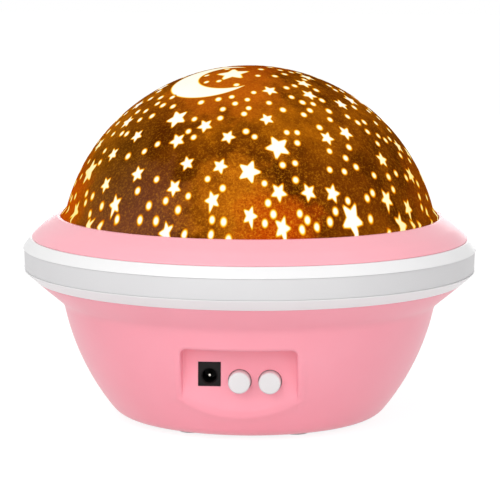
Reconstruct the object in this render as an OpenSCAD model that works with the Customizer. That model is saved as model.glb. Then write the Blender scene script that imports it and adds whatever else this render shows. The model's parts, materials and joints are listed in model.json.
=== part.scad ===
// Star night light projector in the shape of a flying saucer: a pink bowl and collar with a
// white rim between them, and a printed film dome that a small gear motor turns over its LEDs.
// Millimetres, +Z up, the floor at z = 0, the control recess facing -Y.

/* [Rim] */
// Diameter over the top edge of the white rim
rim_d = 150.4; // [146:0.2:156]
// Height of the rim's band strip
band_h = 6.8; // [5:0.2:9]
// Thickness of the band strip
band_t = 0.8; // [0.6:0.1:1.2]
// How far the band's face sits behind the rim's edges
band_step = 0.3; // [0.2:0.1:0.6]
// Draft of the band's face, from its top edge to its bottom edge
band_draft = 0.2; // [0:0.1:0.5]
// Plain wall between the band and each of the rim's chamfers
band_land = 0.2; // [0.1:0.1:0.6]
// Radial run of the rim's upper chamfer
top_chamfer_run = 2.5; // [1.5:0.1:4]
// Height of the rim's upper chamfer
top_chamfer_h = 3.2; // [2.4:0.1:4]
// Radial run of the rim's lower chamfer
low_chamfer_run = 3.8; // [2.5:0.1:4.5]
// Height of the rim's lower chamfer
low_chamfer_h = 3.4; // [2.4:0.1:4]
// Wall of the rim behind the band and of its two ledges
rim_wall = 1.6; // [1.2:0.1:2]
// Width of the rim's ledges, which the two housings clamp
ledge_w = 5; // [4:0.1:6]

/* [Lower housing] */
// Radius of the bowl at the crease under its flange
bowl_top_r = 61.8; // [60:0.2:64]
// Height of the crease over the bowl's underside
bowl_h = 37.6; // [36:0.2:40]
// Radius of the bowl's curved side
bowl_curve_r = 80; // [70:1:100]
// Lean of the bowl's side at the crease, from upright
bowl_lean = 11; // [9:0.5:14]
// Radius between the bowl's side and its flat underside
base_fillet_r = 8; // [5:0.5:9]
// Rise of the flange's underside, from the crease to the rim
flange_rise = 7.9; // [6:0.1:10]
// Radius in the crease under the flange
crease_r = 2; // [1:0.1:3]
// Wall of both housings
wall = 2; // [1.6:0.1:2.4]

/* [Collar] */
// Radial run of the collar's slope, from the rim to the opening that the dome stands in
collar_run = 9.9; // [8:0.1:10.1]
// Rise of the collar, from the rim to its lip
collar_rise = 7.2; // [5:0.1:9]
// How far the collar's slope is crowned over a straight cone
collar_crown = 0.35; // [0.1:0.05:0.8]
// Radius of the lip's rounded edge
lip_round = 0.6; // [0.3:0.1:0.9]
// Thickness of the deck that carries the drive and the lamp
deck_t = 2; // [1.6:0.1:3]
// Depth of the deck's top under the lip
deck_drop = 10.5; // [10:0.1:12]

/* [Dome] */
// How much wider the dome's sphere is than the collar's opening
dome_swell = 0.1; // [0:0.05:0.5]
// Depth of the sphere's centre under the lip
dome_centre_drop = 13.4; // [12:0.1:15]
// Thickness of the film dome
dome_wall = 1; // [0.8:0.1:1.4]
// Gap all round between the dome's foot and the collar
dome_gap = 0.4; // [0.3:0.05:0.8]
// Height over the lip at which the foot starts to flare
flare_h = 2.6; // [1.5:0.1:4]
// Depth of the dome's foot under the lip
foot_depth = 5.4; // [4:0.1:5.6]

/* [Control recess] */
// Depth of the recess's flat back behind the bowl's side, at the buttons' height
recess_depth = 5.67; // [4:0.01:7]
// Width of the recess
recess_w = 36.5; // [34:0.5:40]
// Height of the recess's upper edge over the buttons' axes
recess_rise = 11; // [9:0.1:13]
// Radius of the recess's corners
recess_corner_r = 1.8; // [1:0.1:4]
// Spacing of the power socket and the two buttons
control_pitch = 9.6; // [9.4:0.1:11]
// Height of the buttons' axes over the underside
button_rise = 19.7; // [18.6:0.1:21]
// Diameter of a button
button_d = 7; // [6:0.1:7.4]
// How far a button stands out of the panel
button_proud = 4; // [3:0.1:6]
// Travel of a button
button_travel = 1.8; // [1:0.1:2]
// Gap all round between a button and its hole
button_gap = 0.25; // [0.15:0.05:0.4]
// Width of the power socket's face
jack_w = 7.2; // [6.8:0.1:8]
// Height of the power socket's face
jack_h = 7.8; // [6.8:0.1:9]
// Height of the socket's centre over the buttons' axes
jack_rise = 2.1; // [1:0.1:3]
// Depth of the power socket's body behind the panel
jack_l = 9; // [8:0.5:12]
// Height of the socket's bore over the buttons' axes
jack_bore_rise = 1.5; // [0.5:0.1:3]
// Diameter of the socket's bore
jack_bore_d = 4.6; // [4:0.1:5]
// Diameter of the socket's centre pin
jack_pin_d = 1.3; // [1:0.05:1.7]
// Depth of the centre pin's tip behind the socket's face
pin_inset = 1.2; // [0.5:0.1:2]
// Width and height of a push switch
switch_w = 8; // [7:0.1:8.6]
// Length of a push switch
switch_l = 9; // [8:0.5:12]
// Thickness of the circuit boards
board_t = 1.6; // [1:0.1:2]

/* [Battery bay] */
// Number of cells side by side
cell_count = 4; // [3:1:4]
// Diameter of a cell
cell_d = 10.5; // [10:0.1:10.7]
// Length of a cell over its end button
cell_l = 44.5; // [43:0.5:45]
// Spacing of the cells
cell_pitch = 11; // [10.9:0.1:11.2]
// Clearance round the cells
cell_gap = 0.3; // [0.2:0.05:0.5]
// Length of a contact spring as fitted
spring_l = 5.7; // [4.5:0.1:6]
// Thickness of the contact plates
contact_t = 0.4; // [0.3:0.1:0.5]
// Thickness of the battery door
door_t = 2; // [1.6:0.1:2]
// Gap all round the battery door
door_gap = 0.3; // [0.2:0.05:0.5]
// Thickness of the bay's walls and roof
bay_wall = 1.6; // [1.2:0.1:2]

/* [Feet and screws] */
// Distance of the feet and screw posts from the axis
post_ring_r = 33.6; // [33.2:0.1:35]
// Diameter of a rubber foot
foot_d = 9; // [8:0.5:10]
// How far a foot stands out of the underside
foot_proud = 1; // [0.6:0.1:1.6]
// How deep a foot is let in
foot_sunk = 0.8; // [0.5:0.1:1.2]
// Diameter of the housing screws
screw_d = 2.9; // [2.5:0.1:3.5]
// Length of the housing screws under the head
screw_l = 16; // [12:1:20]
// Height of the split between the lower and upper screw posts
post_split_z = 26; // [22:1:32]

/* [Turntable drive] */
// Module of the ring gear and pinion
gear_module = 1.25; // [1.2:0.05:1.3]
// Teeth of the ring gear under the turntable
ring_teeth = 72; // [70:1:73]
// Teeth of the motor's pinion
pinion_teeth = 12; // [12:1:14]
// Face width of the gears
gear_h = 3.4; // [2.5:0.1:3.6]
// Backlash, taken off the thickness of each tooth
backlash = 0.15; // [0.1:0.01:0.25]
// Thickness of the turntable
table_t = 2; // [1.6:0.1:2.4]
// Radius of the boss that the turntable turns on
hub_r = 14; // [13.5:0.5:15]
// Running clearance between the boss and the turntable
hub_clear = 0.1; // [0.05:0.01:0.1]
// Diameter of the gearbox
gearbox_d = 24; // [22:0.5:26]
// Height of the gearbox
gearbox_h = 9; // [8:0.5:12]
// Diameter of the motor can
motor_d = 16; // [14:0.5:18]
// Height of the motor can
motor_h = 11; // [9:0.5:13]

/* [Light engine] */
// Diameter of the LED board
led_board_d = 22; // [21:0.5:23]
// Distance of the coloured LEDs from the axis
led_ring_r = 6.5; // [6:0.1:7]
// Diameter of each LED
led_d = 5; // [4.5:0.1:5.5]
// Height of an LED over its board
led_h = 8.6; // [7:0.1:9]
// Thickness of the cap that holds the turntable on its boss
cap_t = 1.8; // [1.4:0.1:2.4]

/* [Hidden] */
$fn = 96;
eps = 0.01;
pink = [1, 0.72, 0.77];
white = [0.95, 0.95, 0.95];
satin = [0.88, 0.88, 0.88];
black = [0.1, 0.1, 0.1];
steel = [0.75, 0.75, 0.76];
brass = [0.8, 0.68, 0.35];
board_green = [0.12, 0.4, 0.22];
amber = [0.5, 0.26, 0.08];

// heights, from the floor up
base_z = foot_proud;
inside_z = base_z + wall;
crease_z = base_z + bowl_h;
rim_low_z = crease_z + flange_rise;
band_low_z = rim_low_z + low_chamfer_h + band_land;
band_top_z = band_low_z + band_h;
rim_top_z = band_top_z + band_land + top_chamfer_h;
lip_z = rim_top_z + collar_rise;
deck_z = lip_z - deck_drop;
dome_z = lip_z - dome_centre_drop;
foot_z = lip_z - foot_depth;

// rim
rim_r = rim_d / 2;
rim_top_r = rim_r - top_chamfer_run;
low_land_r = rim_r - band_draft;
rim_low_r = low_land_r - low_chamfer_run;
band_r = rim_r - band_step;
band_low_r = low_land_r - band_step;
groove_r = band_low_r - band_t;
rim_in_r = groove_r - rim_wall;
ledge_r = rim_low_r - ledge_w;

// collar and dome
lip_r = rim_top_r - collar_run;
dome_r = lip_r + dome_swell;
collar_in_r = lip_r + wall;
foot_r = lip_r - dome_gap;
spigot_gap = 0.2;
table_gap = 0.4;
spigot_r = foot_r - dome_wall - spigot_gap;
spigot_h = 2;
flare_z = lip_z + flare_h;
flare_drop = 0.5;

// the bowl's side is an arc about this point
bowl_cx = bowl_top_r - bowl_curve_r * cos(bowl_lean);
bowl_cz = crease_z + bowl_curve_r * sin(bowl_lean);

// control recess
button_z = base_z + button_rise;
panel_y = bowl_cx + sqrt(pow(bowl_curve_r, 2) - pow(bowl_cz - button_z, 2)) - recess_depth;
panel_in_y = panel_y - wall;
button_skirt_t = 1;
button_slack = 0.1;
switch_slack = 0.3;
switch_y = panel_in_y - button_slack - button_skirt_t - button_travel - switch_slack;
stem_d = 3;
stem_in = 1;
stem_gap = 0.3;
jack_proud = 0.2;
jack_z = button_z + jack_rise;
board_top_z = button_z - switch_w / 2;
board_margin = 10;
board_w = 2 * (control_pitch + board_margin);
board_depth = 11.2;
board_back_y = switch_y - board_depth;
board_screw_l = 7;
board_head_h = 1.2;
board_gap = 0.3;
board_post_d = 6;
board_screw_x = board_w / 2 - board_post_d / 2;
board_screw_y = switch_y - board_post_d / 2 - 0.5;

// battery bay
bay_l = cell_l + spring_l + 2 * contact_t + cell_gap;
bay_w = (cell_count - 1) * cell_pitch + cell_d + 2 * cell_gap;
cell_z = base_z + door_t + cell_gap + cell_d / 2;
bay_top_z = cell_z + cell_d / 2 + cell_gap;
tab_w = 8;
tab_x = bay_l / 4;
tab_l = 1.6;
tab_t = 1;
tab_room = 0.6;
tab_slack = 0.1;
latch_w = 12;
latch_slot = 0.8;
latch_l = 6;
grip_count = 3;
grip_pitch = 1.6;
grip_depth = 0.4;
notch_r = 4;

// screw posts
post_angles = [60, 120, 240, 300];
post_r = screw_d / 2 + 2.6;
head_r = screw_d / 2 + 1.3;
head_h = 2;
screw_slack = 0.02;
head_gap = 0.3;
screw_head_z = post_split_z - 6;

// drive
ring_pitch_r = gear_module * ring_teeth / 2;
pinion_pitch_r = gear_module * pinion_teeth / 2;
drive_r = ring_pitch_r - pinion_pitch_r;
pressure = 20;
tip_short = 0.6;
root_depth = 1.25;
gear_rim = 2.4;
thrust_h = 0.35;
thrust_gap = 0.05;
table_low_z = foot_z - 1;
gear_z = table_low_z - gear_h;
hub_wall = 3;
hub_top_z = table_low_z + table_t + 1.2;
pinion_gap = 0.3;
shaft_d = 4;
shaft_room = 1;
ear_d = 7;
motor_screw_d = 2.5;
motor_head_h = 1.6;
motor_flat = 14;
ear_t = 2;
ear_r = gearbox_d / 2 + 3;

// light engine
cap_z = hub_top_z + 0.2;
cap_r = hub_r + hub_wall;
led_z = cap_z + cap_t;
led_board_t = 1.2;
led_top_z = led_z + led_board_t;
led_flange_h = 1;
led_screw_r = 8.6;
led_screw_d = 2;
led_screw_l = 7;
led_head_h = 1;
led_pilot_l = 5;
wire_d = 7;

function unit(v) = v / norm(v);
function turned(p, a) = [p.x * cos(a) - p.y * sin(a), p.x * sin(a) + p.y * cos(a)];

// the corner b of a path that comes from a and goes to c, rounded by radius r
function corner(a, b, c, r, n = 4) =
    r == 0 ? [b] :
    let (
        u = unit(a - b),
        v = unit(c - b),
        half = acos(u * v) / 2,
        mid = b + unit(u + v) * r / sin(half),
        p = b + u * r / tan(half) - mid,
        q = b + v * r / tan(half) - mid,
        turn = sign(cross(p, q)) * (180 - 2 * half)
    )
    [for (i = [0:n]) mid + turned(p, turn * i / n)];

// a closed outline of [x, y, rounding] points
function soften(pts) =
    [for (i = [0:len(pts) - 1])
        let (
            a = pts[(i + len(pts) - 1) % len(pts)],
            b = pts[i],
            c = pts[(i + 1) % len(pts)]
        )
        each corner([a.x, a.y], [b.x, b.y], [c.x, c.y], b.z)];

// points on the arc about [cx, cy], as unrounded outline points
function arc(cx, cy, r, a0, a1, n) =
    [for (i = [0:n]) let (a = a0 + (a1 - a0) * i / n) [cx + r * cos(a), cy + r * sin(a), 0]];

// the bowl's side and bottom, drawn in by inset
fillet_z = base_z + base_fillet_r;
fillet_x = bowl_cx + sqrt(pow(bowl_curve_r - base_fillet_r, 2) - pow(bowl_cz - fillet_z, 2));
fillet_a = atan2(fillet_z - bowl_cz, fillet_x - bowl_cx);
flange_a = atan2(flange_rise, rim_low_r - bowl_top_r);
function bowl_side(inset, a1) = concat(
    [[0, base_z + inset, 0]],
    arc(fillet_x, fillet_z, base_fillet_r - inset, -90, fillet_a, 6),
    arc(bowl_cx, bowl_cz, bowl_curve_r - inset, fillet_a + 1, a1, 12));

// distance that the bowl's inner side runs past the crease to keep the flange's wall
inner_run = wall * (1 - sin(bowl_lean + flange_a)) / cos(bowl_lean + flange_a);
inner_a = -bowl_lean + asin(inner_run / (bowl_curve_r - wall));
flange_in_r = rim_low_r - wall / sin(flange_a);

module bowl_outline(inset, top_r, a1) {
    rotate_extrude()
        polygon(soften(concat(
            bowl_side(inset, a1),
            [[top_r, rim_low_z, 0], [0, rim_low_z, 0]])));
}

module bowl_outer() {
    crease = [bowl_top_r, crease_z, crease_r];
    side = bowl_side(0, -bowl_lean - 1.2);
    rotate_extrude()
        polygon(soften(concat(side, [crease, [rim_low_r, rim_low_z, 0], [0, rim_low_z, 0]])));
}

module bowl_inner() {
    bowl_outline(wall, flange_in_r, inner_a);
}

module at_posts() {
    for (a = post_angles)
        rotate(a)
            translate([post_ring_r, 0, 0])
                children();
}

// the recess's section seen from the front, swept back to the panel, grown by a wall
module recess_block(grow, y) {
    half = recess_w / 2 + grow;
    top = button_z + recess_rise + grow;
    r = recess_corner_r + grow;
    translate([0, -y, 0])
        rotate([90, 0, 0])
            linear_extrude(rim_r)
                polygon(soften([[-half, base_z - wall, 0], [half, base_z - wall, 0],
                    [half, top, r], [-half, top, r]]));
}

module along_y(y, x, z, d, l) {
    translate([x, y, z])
        rotate([90, 0, 0])
            cylinder(h = l, d = d);
}

module box(x0, x1, y0, y1, z0, z1) {
    translate([x0, y0, z0])
        cube([x1 - x0, y1 - y0, z1 - z0]);
}

// the base's battery door opening, with its latch notch and hinge slots
module bay_room() {
    box(-bay_l / 2, bay_l / 2, -bay_w / 2, bay_w / 2, base_z - eps, bay_top_z);
    for (s = [-1, 1])
        box(s * tab_x - tab_w / 2 - tab_room, s * tab_x + tab_w / 2 + tab_room, 0,
            bay_w / 2 + tab_l + tab_room, inside_z, inside_z + tab_t + tab_l);
    translate([0, -bay_w / 2, base_z - eps])
        cylinder(h = 1 + eps, r = notch_r);
}

module lower_bowl() {
    color(pink)
    difference() {
        union() {
            difference() {
                bowl_outer();
                bowl_inner();
            }
            intersection() {
                bowl_outer();
                union() {
                    recess_block(wall, panel_in_y);
                    box(-bay_l / 2 - bay_wall, bay_l / 2 + bay_wall, -bay_w / 2 - bay_wall,
                        bay_w / 2 + bay_wall, base_z + eps, bay_top_z + bay_wall);
                    at_posts()
                        cylinder(h = post_split_z, r = post_r);
                    for (s = [-1, 1])
                        translate([s * board_screw_x, -board_screw_y, 0])
                            cylinder(h = board_top_z - board_t, d = board_post_d);
                }
            }
        }
        recess_block(0, panel_y);
        bay_room();
        at_posts() {
            translate([0, 0, base_z - eps])
                cylinder(h = foot_sunk + eps, d = foot_d);
            translate([0, 0, base_z])
                cylinder(h = screw_head_z - base_z, r = head_r + head_gap);
            cylinder(h = post_split_z + eps, r = screw_d / 2 + screw_slack);
        }
        for (x = [0, control_pitch])
            along_y(-panel_in_y + eps, x, button_z, button_d + 2 * button_gap, wall + 2 * eps);
        box(-control_pitch - jack_w / 2, -control_pitch + jack_w / 2, -panel_y - eps,
            -panel_in_y + eps, jack_z - jack_h / 2, jack_z + jack_h / 2);
        for (s = [-1, 1])
            translate([s * board_screw_x, -board_screw_y, board_top_z - board_screw_l - 1])
                cylinder(h = board_screw_l + 1, d = led_screw_d + 2 * screw_slack);
    }
}

module upper_collar() {
    mid_r = (collar_in_r + rim_top_r) / 2;
    drop = wall / cos(atan2(collar_rise, rim_top_r - lip_r));
    color(pink)
    difference() {
        union() {
            rotate_extrude()
                polygon(soften([
                    [lip_r, deck_z - deck_t, 0],
                    [collar_in_r, deck_z - deck_t, 0],
                    [collar_in_r, lip_z - drop - 0.6, 0],
                    [ledge_r - 0.2, rim_top_z - 0.2, 0],
                    [ledge_r - 0.2, rim_top_z, 0],
                    [rim_top_r, rim_top_z, 0],
                    [mid_r, (rim_top_z + lip_z) / 2 + collar_crown, 12],
                    [lip_r + 2 * lip_round, lip_z, lip_round],
                    [lip_r, lip_z, lip_round]]));
            translate([0, 0, deck_z - deck_t])
                cylinder(h = deck_t, r = lip_r + eps);
            translate([0, 0, deck_z - eps])
                cylinder(h = thrust_h + table_low_z - gear_h - deck_z, r = hub_r + hub_wall);
            translate([0, 0, deck_z - eps])
                cylinder(h = cap_z - deck_z + eps, r = hub_r);
            at_posts()
                translate([0, 0, post_split_z])
                    cylinder(h = deck_z - deck_t - post_split_z + eps, r = post_r);
        }
        at_posts()
            translate([0, 0, post_split_z - eps])
                cylinder(h = screw_l, r = screw_d / 2 + screw_slack);
        translate([0, 0, deck_z - deck_t - eps])
            cylinder(h = cap_z, d = wire_d);
        translate([-drive_r, 0, deck_z - deck_t - eps])
            cylinder(h = deck_t + 2 * eps, d = shaft_d + 2 * shaft_room);
        for (a = [30, 150, 270])
            rotate(a)
                translate([led_screw_r, 0, cap_z - led_pilot_l])
                    cylinder(h = led_pilot_l + eps, d = led_screw_d + 2 * screw_slack);
        for (s = [-1, 1])
            translate([-drive_r, s * ear_r, deck_z - deck_t - eps])
                cylinder(h = deck_t + 2 * eps, d = motor_screw_d + 2 * screw_slack);
    }
}

module white_rim() {
    color(white)
    rotate_extrude()
        difference() {
            polygon(soften([
                [ledge_r, rim_low_z, 0],
                [rim_low_r, rim_low_z, 0],
                [low_land_r, rim_low_z + low_chamfer_h, 0],
                [low_land_r, band_low_z, 0],
                [groove_r, band_low_z, 0],
                [groove_r, band_top_z, 0],
                [rim_r, band_top_z, 0],
                [rim_r, band_top_z + band_land, 0],
                [rim_top_r, rim_top_z, 0],
                [ledge_r, rim_top_z, 0]]));
            translate([ledge_r - eps, rim_low_z + rim_wall])
                square([rim_in_r - ledge_r, rim_top_z - rim_low_z - 2 * rim_wall]);
        }
}

module rim_band() {
    color(satin)
    rotate_extrude()
        polygon([
            [groove_r, band_low_z],
            [band_low_r, band_low_z],
            [band_r, band_top_z],
            [groove_r, band_top_z]]);
}

module rubber_feet() {
    color(black)
    at_posts()
        rotate_extrude()
            polygon(soften([
                [0, 0, 0],
                [foot_d / 2, 0, foot_proud / 2],
                [foot_d / 2, base_z + foot_sunk, 0],
                [0, base_z + foot_sunk, 0]]));
}

module housing_screws() {
    color(steel)
    at_posts() {
        translate([0, 0, screw_head_z - head_h])
            cylinder(h = head_h, r = head_r);
        translate([0, 0, screw_head_z - eps])
            cylinder(h = screw_l, d = screw_d);
    }
}

module battery_door() {
    door_half = bay_w / 2 - door_gap;
    color(pink)
    difference() {
        union() {
            box(-bay_l / 2 + door_gap, bay_l / 2 - door_gap, -door_half, door_half,
                base_z, base_z + door_t);
            for (s = [-1, 1])
                translate([s * tab_x - tab_w / 2, 0, base_z + door_t]) {
                    box(0, tab_w, door_half - tab_l, door_half, -eps, tab_t);
                    box(0, tab_w, door_half - eps, door_half + tab_l, tab_slack, tab_t);
                }
        }
        for (s = [-1, 1])
            box(s * latch_w / 2 - latch_slot / 2, s * latch_w / 2 + latch_slot / 2,
                -door_half - eps, -door_half + latch_l, base_z - eps, base_z + door_t + eps);
        for (i = [0:grip_count - 1])
            box(-latch_w / 2 + 2, latch_w / 2 - 2, -door_half + 1.2 + i * grip_pitch,
                -door_half + 1.2 + (i + 0.5) * grip_pitch, base_z - eps, base_z + grip_depth);
    }
}

// places the children at each cell, turned about for every second one
module at_cells() {
    for (i = [0:cell_count - 1])
        translate([0, (i - (cell_count - 1) / 2) * cell_pitch, cell_z])
            mirror([i % 2, 0, 0])
                rotate([0, 90, 0])
                    children();
}

module battery_cells() {
    nub_d = 3.8;
    nub_h = 1;
    start = -bay_l / 2 + contact_t + spring_l;
    color(steel)
    at_cells() {
        translate([0, 0, start])
            cylinder(h = cell_l - nub_h, d = cell_d);
        translate([0, 0, start + cell_l - nub_h - eps])
            cylinder(h = nub_h + eps, d = nub_d);
    }
}

module battery_springs() {
    color(steel)
    at_cells()
        translate([0, 0, -bay_l / 2 + contact_t])
            cylinder(h = spring_l, d1 = cell_d - 3, d2 = cell_d - 5.5);
}

module battery_contacts() {
    color(steel)
    at_cells()
        for (x = [-bay_l / 2, bay_l / 2 - contact_t])
            translate([-cell_d / 2 + 1.2, -cell_d / 2 + 1, x])
                cube([cell_d - 2.4, cell_d - 2, contact_t]);
}

module main_board() {
    color(board_green)
    difference() {
        box(-board_w / 2, board_w / 2, -switch_y, -board_back_y,
            board_top_z - board_t, board_top_z);
        for (s = [-1, 1])
            translate([s * board_screw_x, -board_screw_y, board_top_z - board_t - eps])
                cylinder(h = board_t + 2 * eps, d = led_screw_d + 2 * screw_slack);
        at_posts()
            cylinder(h = post_split_z, r = post_r + board_gap);
    }
}

module board_screws() {
    color(steel)
    for (s = [-1, 1])
        translate([s * board_screw_x, -board_screw_y, 0]) {
            translate([0, 0, board_top_z])
                cylinder(h = board_head_h, d = 2 * led_screw_d);
            translate([0, 0, board_top_z - board_screw_l])
                cylinder(h = board_screw_l + eps, d = led_screw_d);
        }
}

module dc_socket() {
    x = -control_pitch;
    bore_z = button_z + jack_bore_rise;
    color(black)
    difference() {
        union() {
            box(x - jack_w / 2, x + jack_w / 2, -panel_y - jack_proud, -panel_in_y + eps,
                jack_z - jack_h / 2, jack_z + jack_h / 2);
            box(x - jack_w / 2 - 0.6, x + jack_w / 2 + 0.6, -panel_in_y,
                -panel_in_y + jack_l, board_top_z, jack_z + jack_h / 2);
        }
        along_y(-panel_in_y + jack_l - 1.5, x, bore_z, jack_bore_d,
            jack_l + wall + jack_proud);
    }
}

module dc_pin() {
    back = -panel_in_y + jack_l - 1.5;
    color(steel)
    along_y(back, -control_pitch, button_z + jack_bore_rise, jack_pin_d,
        panel_y + jack_proud + back - pin_inset);
}

module push_switch(x) {
    difference() {
        box(x - switch_w / 2, x + switch_w / 2, -switch_y, -switch_y + switch_l,
            board_top_z, board_top_z + switch_w);
        along_y(-switch_y + stem_in + button_travel + switch_slack, x, button_z,
            stem_d + 2 * stem_gap, switch_l);
    }
}

module light_switch() {
    color(black)
    push_switch(0);
}

module rotation_switch() {
    color(black)
    push_switch(control_pitch);
}

module push_button(x) {
    translate([x, -panel_in_y, button_z])
        rotate([90, 0, 0])
            rotate_extrude()
                polygon(soften([
                    [0, -(panel_in_y - switch_y) - stem_in, 0],
                    [stem_d / 2, -(panel_in_y - switch_y) - stem_in, 0],
                    [stem_d / 2, -button_slack - button_skirt_t, 0],
                    [button_d / 2 + 0.9, -button_slack - button_skirt_t, 0],
                    [button_d / 2 + 0.9, -button_slack, 0],
                    [button_d / 2, -button_slack, 0],
                    [button_d / 2, wall + button_proud, 0.6],
                    [0, wall + button_proud, 0]]));
}

module light_button() {
    color(white)
    push_button(0);
}

module rotation_button() {
    color(white)
    push_button(control_pitch);
}

// half the angle of an external tooth at radius r
function tooth_half(r, teeth, slack) =
    let (
        pitch_r = gear_module * teeth / 2,
        base_r = pitch_r * cos(pressure),
        a = acos(min(1, base_r / r)),
        inv_p = tan(pressure) - pressure * PI / 180,
        inv_a = tan(a) - a * PI / 180
    )
    90 / teeth - slack / 2 / pitch_r * 180 / PI + (inv_p - inv_a) * 180 / PI;

// a spur gear's outline, from its root radius to its tip radius
function gear_outline(teeth, root_r, tip_r, slack, n = 4) =
    let (
        base_r = gear_module * teeth / 2 * cos(pressure),
        low_r = max(root_r, base_r + eps),
        radii = concat(root_r < low_r ? [root_r] : [],
            [for (i = [0:n]) low_r + (tip_r - low_r) * i / n])
    )
    [for (k = [0:teeth - 1], s = [-1, 1], i = [0:len(radii) - 1])
        let (
            r = s < 0 ? radii[i] : radii[len(radii) - 1 - i],
            a = k * 360 / teeth + s * tooth_half(max(r, low_r), teeth, slack)
        )
        [r * cos(a), r * sin(a)]];

module turntable() {
    ring_root_r = ring_pitch_r + root_depth * gear_module;
    ring_tip_r = ring_pitch_r - tip_short * gear_module;
    color(white)
    union() {
        rotate_extrude()
            polygon([
                [hub_r + hub_clear, gear_z + thrust_h + thrust_gap],
                [hub_r + hub_wall, gear_z + thrust_h + thrust_gap],
                [hub_r + hub_wall, table_low_z],
                [foot_r - 0.1, table_low_z],
                [foot_r - 0.1, foot_z],
                [spigot_r, foot_z],
                [spigot_r, table_low_z + table_t + spigot_h],
                [spigot_r - 1.2, table_low_z + table_t + spigot_h],
                [spigot_r - 1.2, table_low_z + table_t],
                [hub_r + hub_wall, table_low_z + table_t],
                [hub_r + hub_wall, hub_top_z],
                [hub_r + hub_clear, hub_top_z]]);
        translate([0, 0, gear_z])
            linear_extrude(gear_h + eps)
                difference() {
                    circle(r = ring_root_r + gear_rim);
                    polygon(gear_outline(ring_teeth, ring_tip_r, ring_root_r, -backlash));
                }
    }
}

module motor_pinion() {
    tip_r = pinion_pitch_r + gear_module;
    root_r = pinion_pitch_r - root_depth * gear_module;
    color(white)
    translate([-drive_r, 0, 0]) {
        translate([0, 0, gear_z + 0.1])
            linear_extrude(gear_h - pinion_gap)
                rotate(180)
                    polygon(gear_outline(pinion_teeth, root_r, tip_r, backlash));
        translate([0, 0, deck_z - deck_t + 0.2])
            cylinder(h = gear_z + 0.2 - deck_z + deck_t, d = shaft_d);
    }
}

module motor_gearbox() {
    color(white)
    translate([-drive_r, 0, deck_z - deck_t - gearbox_h])
        difference() {
            union() {
                cylinder(h = gearbox_h, d = gearbox_d);
                translate([0, 0, gearbox_h - ear_t])
                    linear_extrude(ear_t)
                        polygon(soften([
                            [-ear_d / 2, -ear_r - ear_d / 2, 3],
                            [ear_d / 2, -ear_r - ear_d / 2, 3],
                            [ear_d / 2, ear_r + ear_d / 2, 3],
                            [-ear_d / 2, ear_r + ear_d / 2, 3]]));
            }
            for (s = [-1, 1])
                translate([0, s * ear_r, 0])
                    cylinder(h = gearbox_h + eps, d = motor_screw_d + 2 * screw_slack);
        }
}

module motor_can() {
    color(steel)
    translate([-drive_r, 0, deck_z - deck_t - gearbox_h - motor_h])
        intersection() {
            cylinder(h = motor_h, d = motor_d);
            box(-motor_flat / 2, motor_flat / 2, -motor_d, motor_d, -eps, motor_h + eps);
        }
}

module motor_screws() {
    z = deck_z - deck_t - ear_t;
    color(steel)
    for (s = [-1, 1])
        translate([-drive_r, s * ear_r, 0]) {
            translate([0, 0, z - motor_head_h])
                cylinder(h = motor_head_h, d = 1.8 * motor_screw_d);
            translate([0, 0, z - eps])
                cylinder(h = deck_t + ear_t, d = motor_screw_d);
        }
}

module lamp_cap() {
    color(white)
    difference() {
        union() {
            translate([0, 0, cap_z])
                cylinder(h = cap_t, r = cap_r);
            rotate_extrude()
                polygon(soften([
                    [led_board_d / 2 + 0.2, led_z - eps, 0],
                    [led_board_d / 2 + 1.8, led_z - eps, 0],
                    [led_board_d / 2 + 1.4, led_top_z, 0.3],
                    [led_board_d / 2 + 0.2, led_top_z, 0]]));
        }
        translate([0, 0, cap_z - eps])
            cylinder(h = cap_t + 2 * eps, d = wire_d);
        for (a = [30, 150, 270])
            rotate(a)
                translate([led_screw_r, 0, cap_z - eps])
                    cylinder(h = cap_t + 2 * eps, d = led_screw_d + 2 * screw_slack);
    }
}

module led_board() {
    color(white)
    difference() {
        translate([0, 0, led_z])
            cylinder(h = led_board_t, d = led_board_d);
        for (a = [30, 150, 270])
            rotate(a)
                translate([led_screw_r, 0, led_z - eps])
                    cylinder(h = led_board_t + 2 * eps, d = led_screw_d + 2 * screw_slack);
    }
}

module led_screws() {
    color(steel)
    for (a = [30, 150, 270])
        rotate(a)
            translate([led_screw_r, 0, 0]) {
                translate([0, 0, led_top_z])
                    cylinder(h = led_head_h, d = 1.6 * led_screw_d);
                translate([0, 0, led_top_z - led_screw_l])
                    cylinder(h = led_screw_l + eps, d = led_screw_d);
            }
}

// a bullet LED standing on its board, r from the axis at bearing a
module led(r, a) {
    rotate(a)
        translate([r, 0, led_top_z])
            rotate_extrude()
                polygon(soften([
                    [0, 0, 0],
                    [led_d / 2 + 0.4, 0, 0],
                    [led_d / 2 + 0.4, led_flange_h, 0],
                    [led_d / 2, led_flange_h, 0],
                    [led_d / 2, led_h, led_d / 2 - 0.1],
                    [0, led_h, 0]]));
}

module led_white() {
    color(white)
    led(0, 0);
}

module led_red() {
    color("red")
    led(led_ring_r, 90);
}

module led_green() {
    color("green")
    led(led_ring_r, 210);
}

module led_blue() {
    color("blue")
    led(led_ring_r, 330);
}

// one side of the dome: a sphere of radius r over a foot that flares out to radius foot
function dome_side(r, foot, kink_z, n) =
    let (a0 = asin((kink_z - dome_z) / r))
    concat(
        [[foot, foot_z, 0], [foot, lip_z + flare_drop, 0]],
        arc(0, dome_z, r, a0, 90, n));

module film_dome() {
    outer = dome_side(dome_r, foot_r, flare_z, 28);
    inner = dome_side(dome_r - dome_wall, foot_r - dome_wall, flare_z, 28);
    color(amber)
    rotate_extrude()
        polygon(soften(concat(outer, [for (i = [len(inner) - 1:-1:0]) inner[i]])));
}

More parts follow.
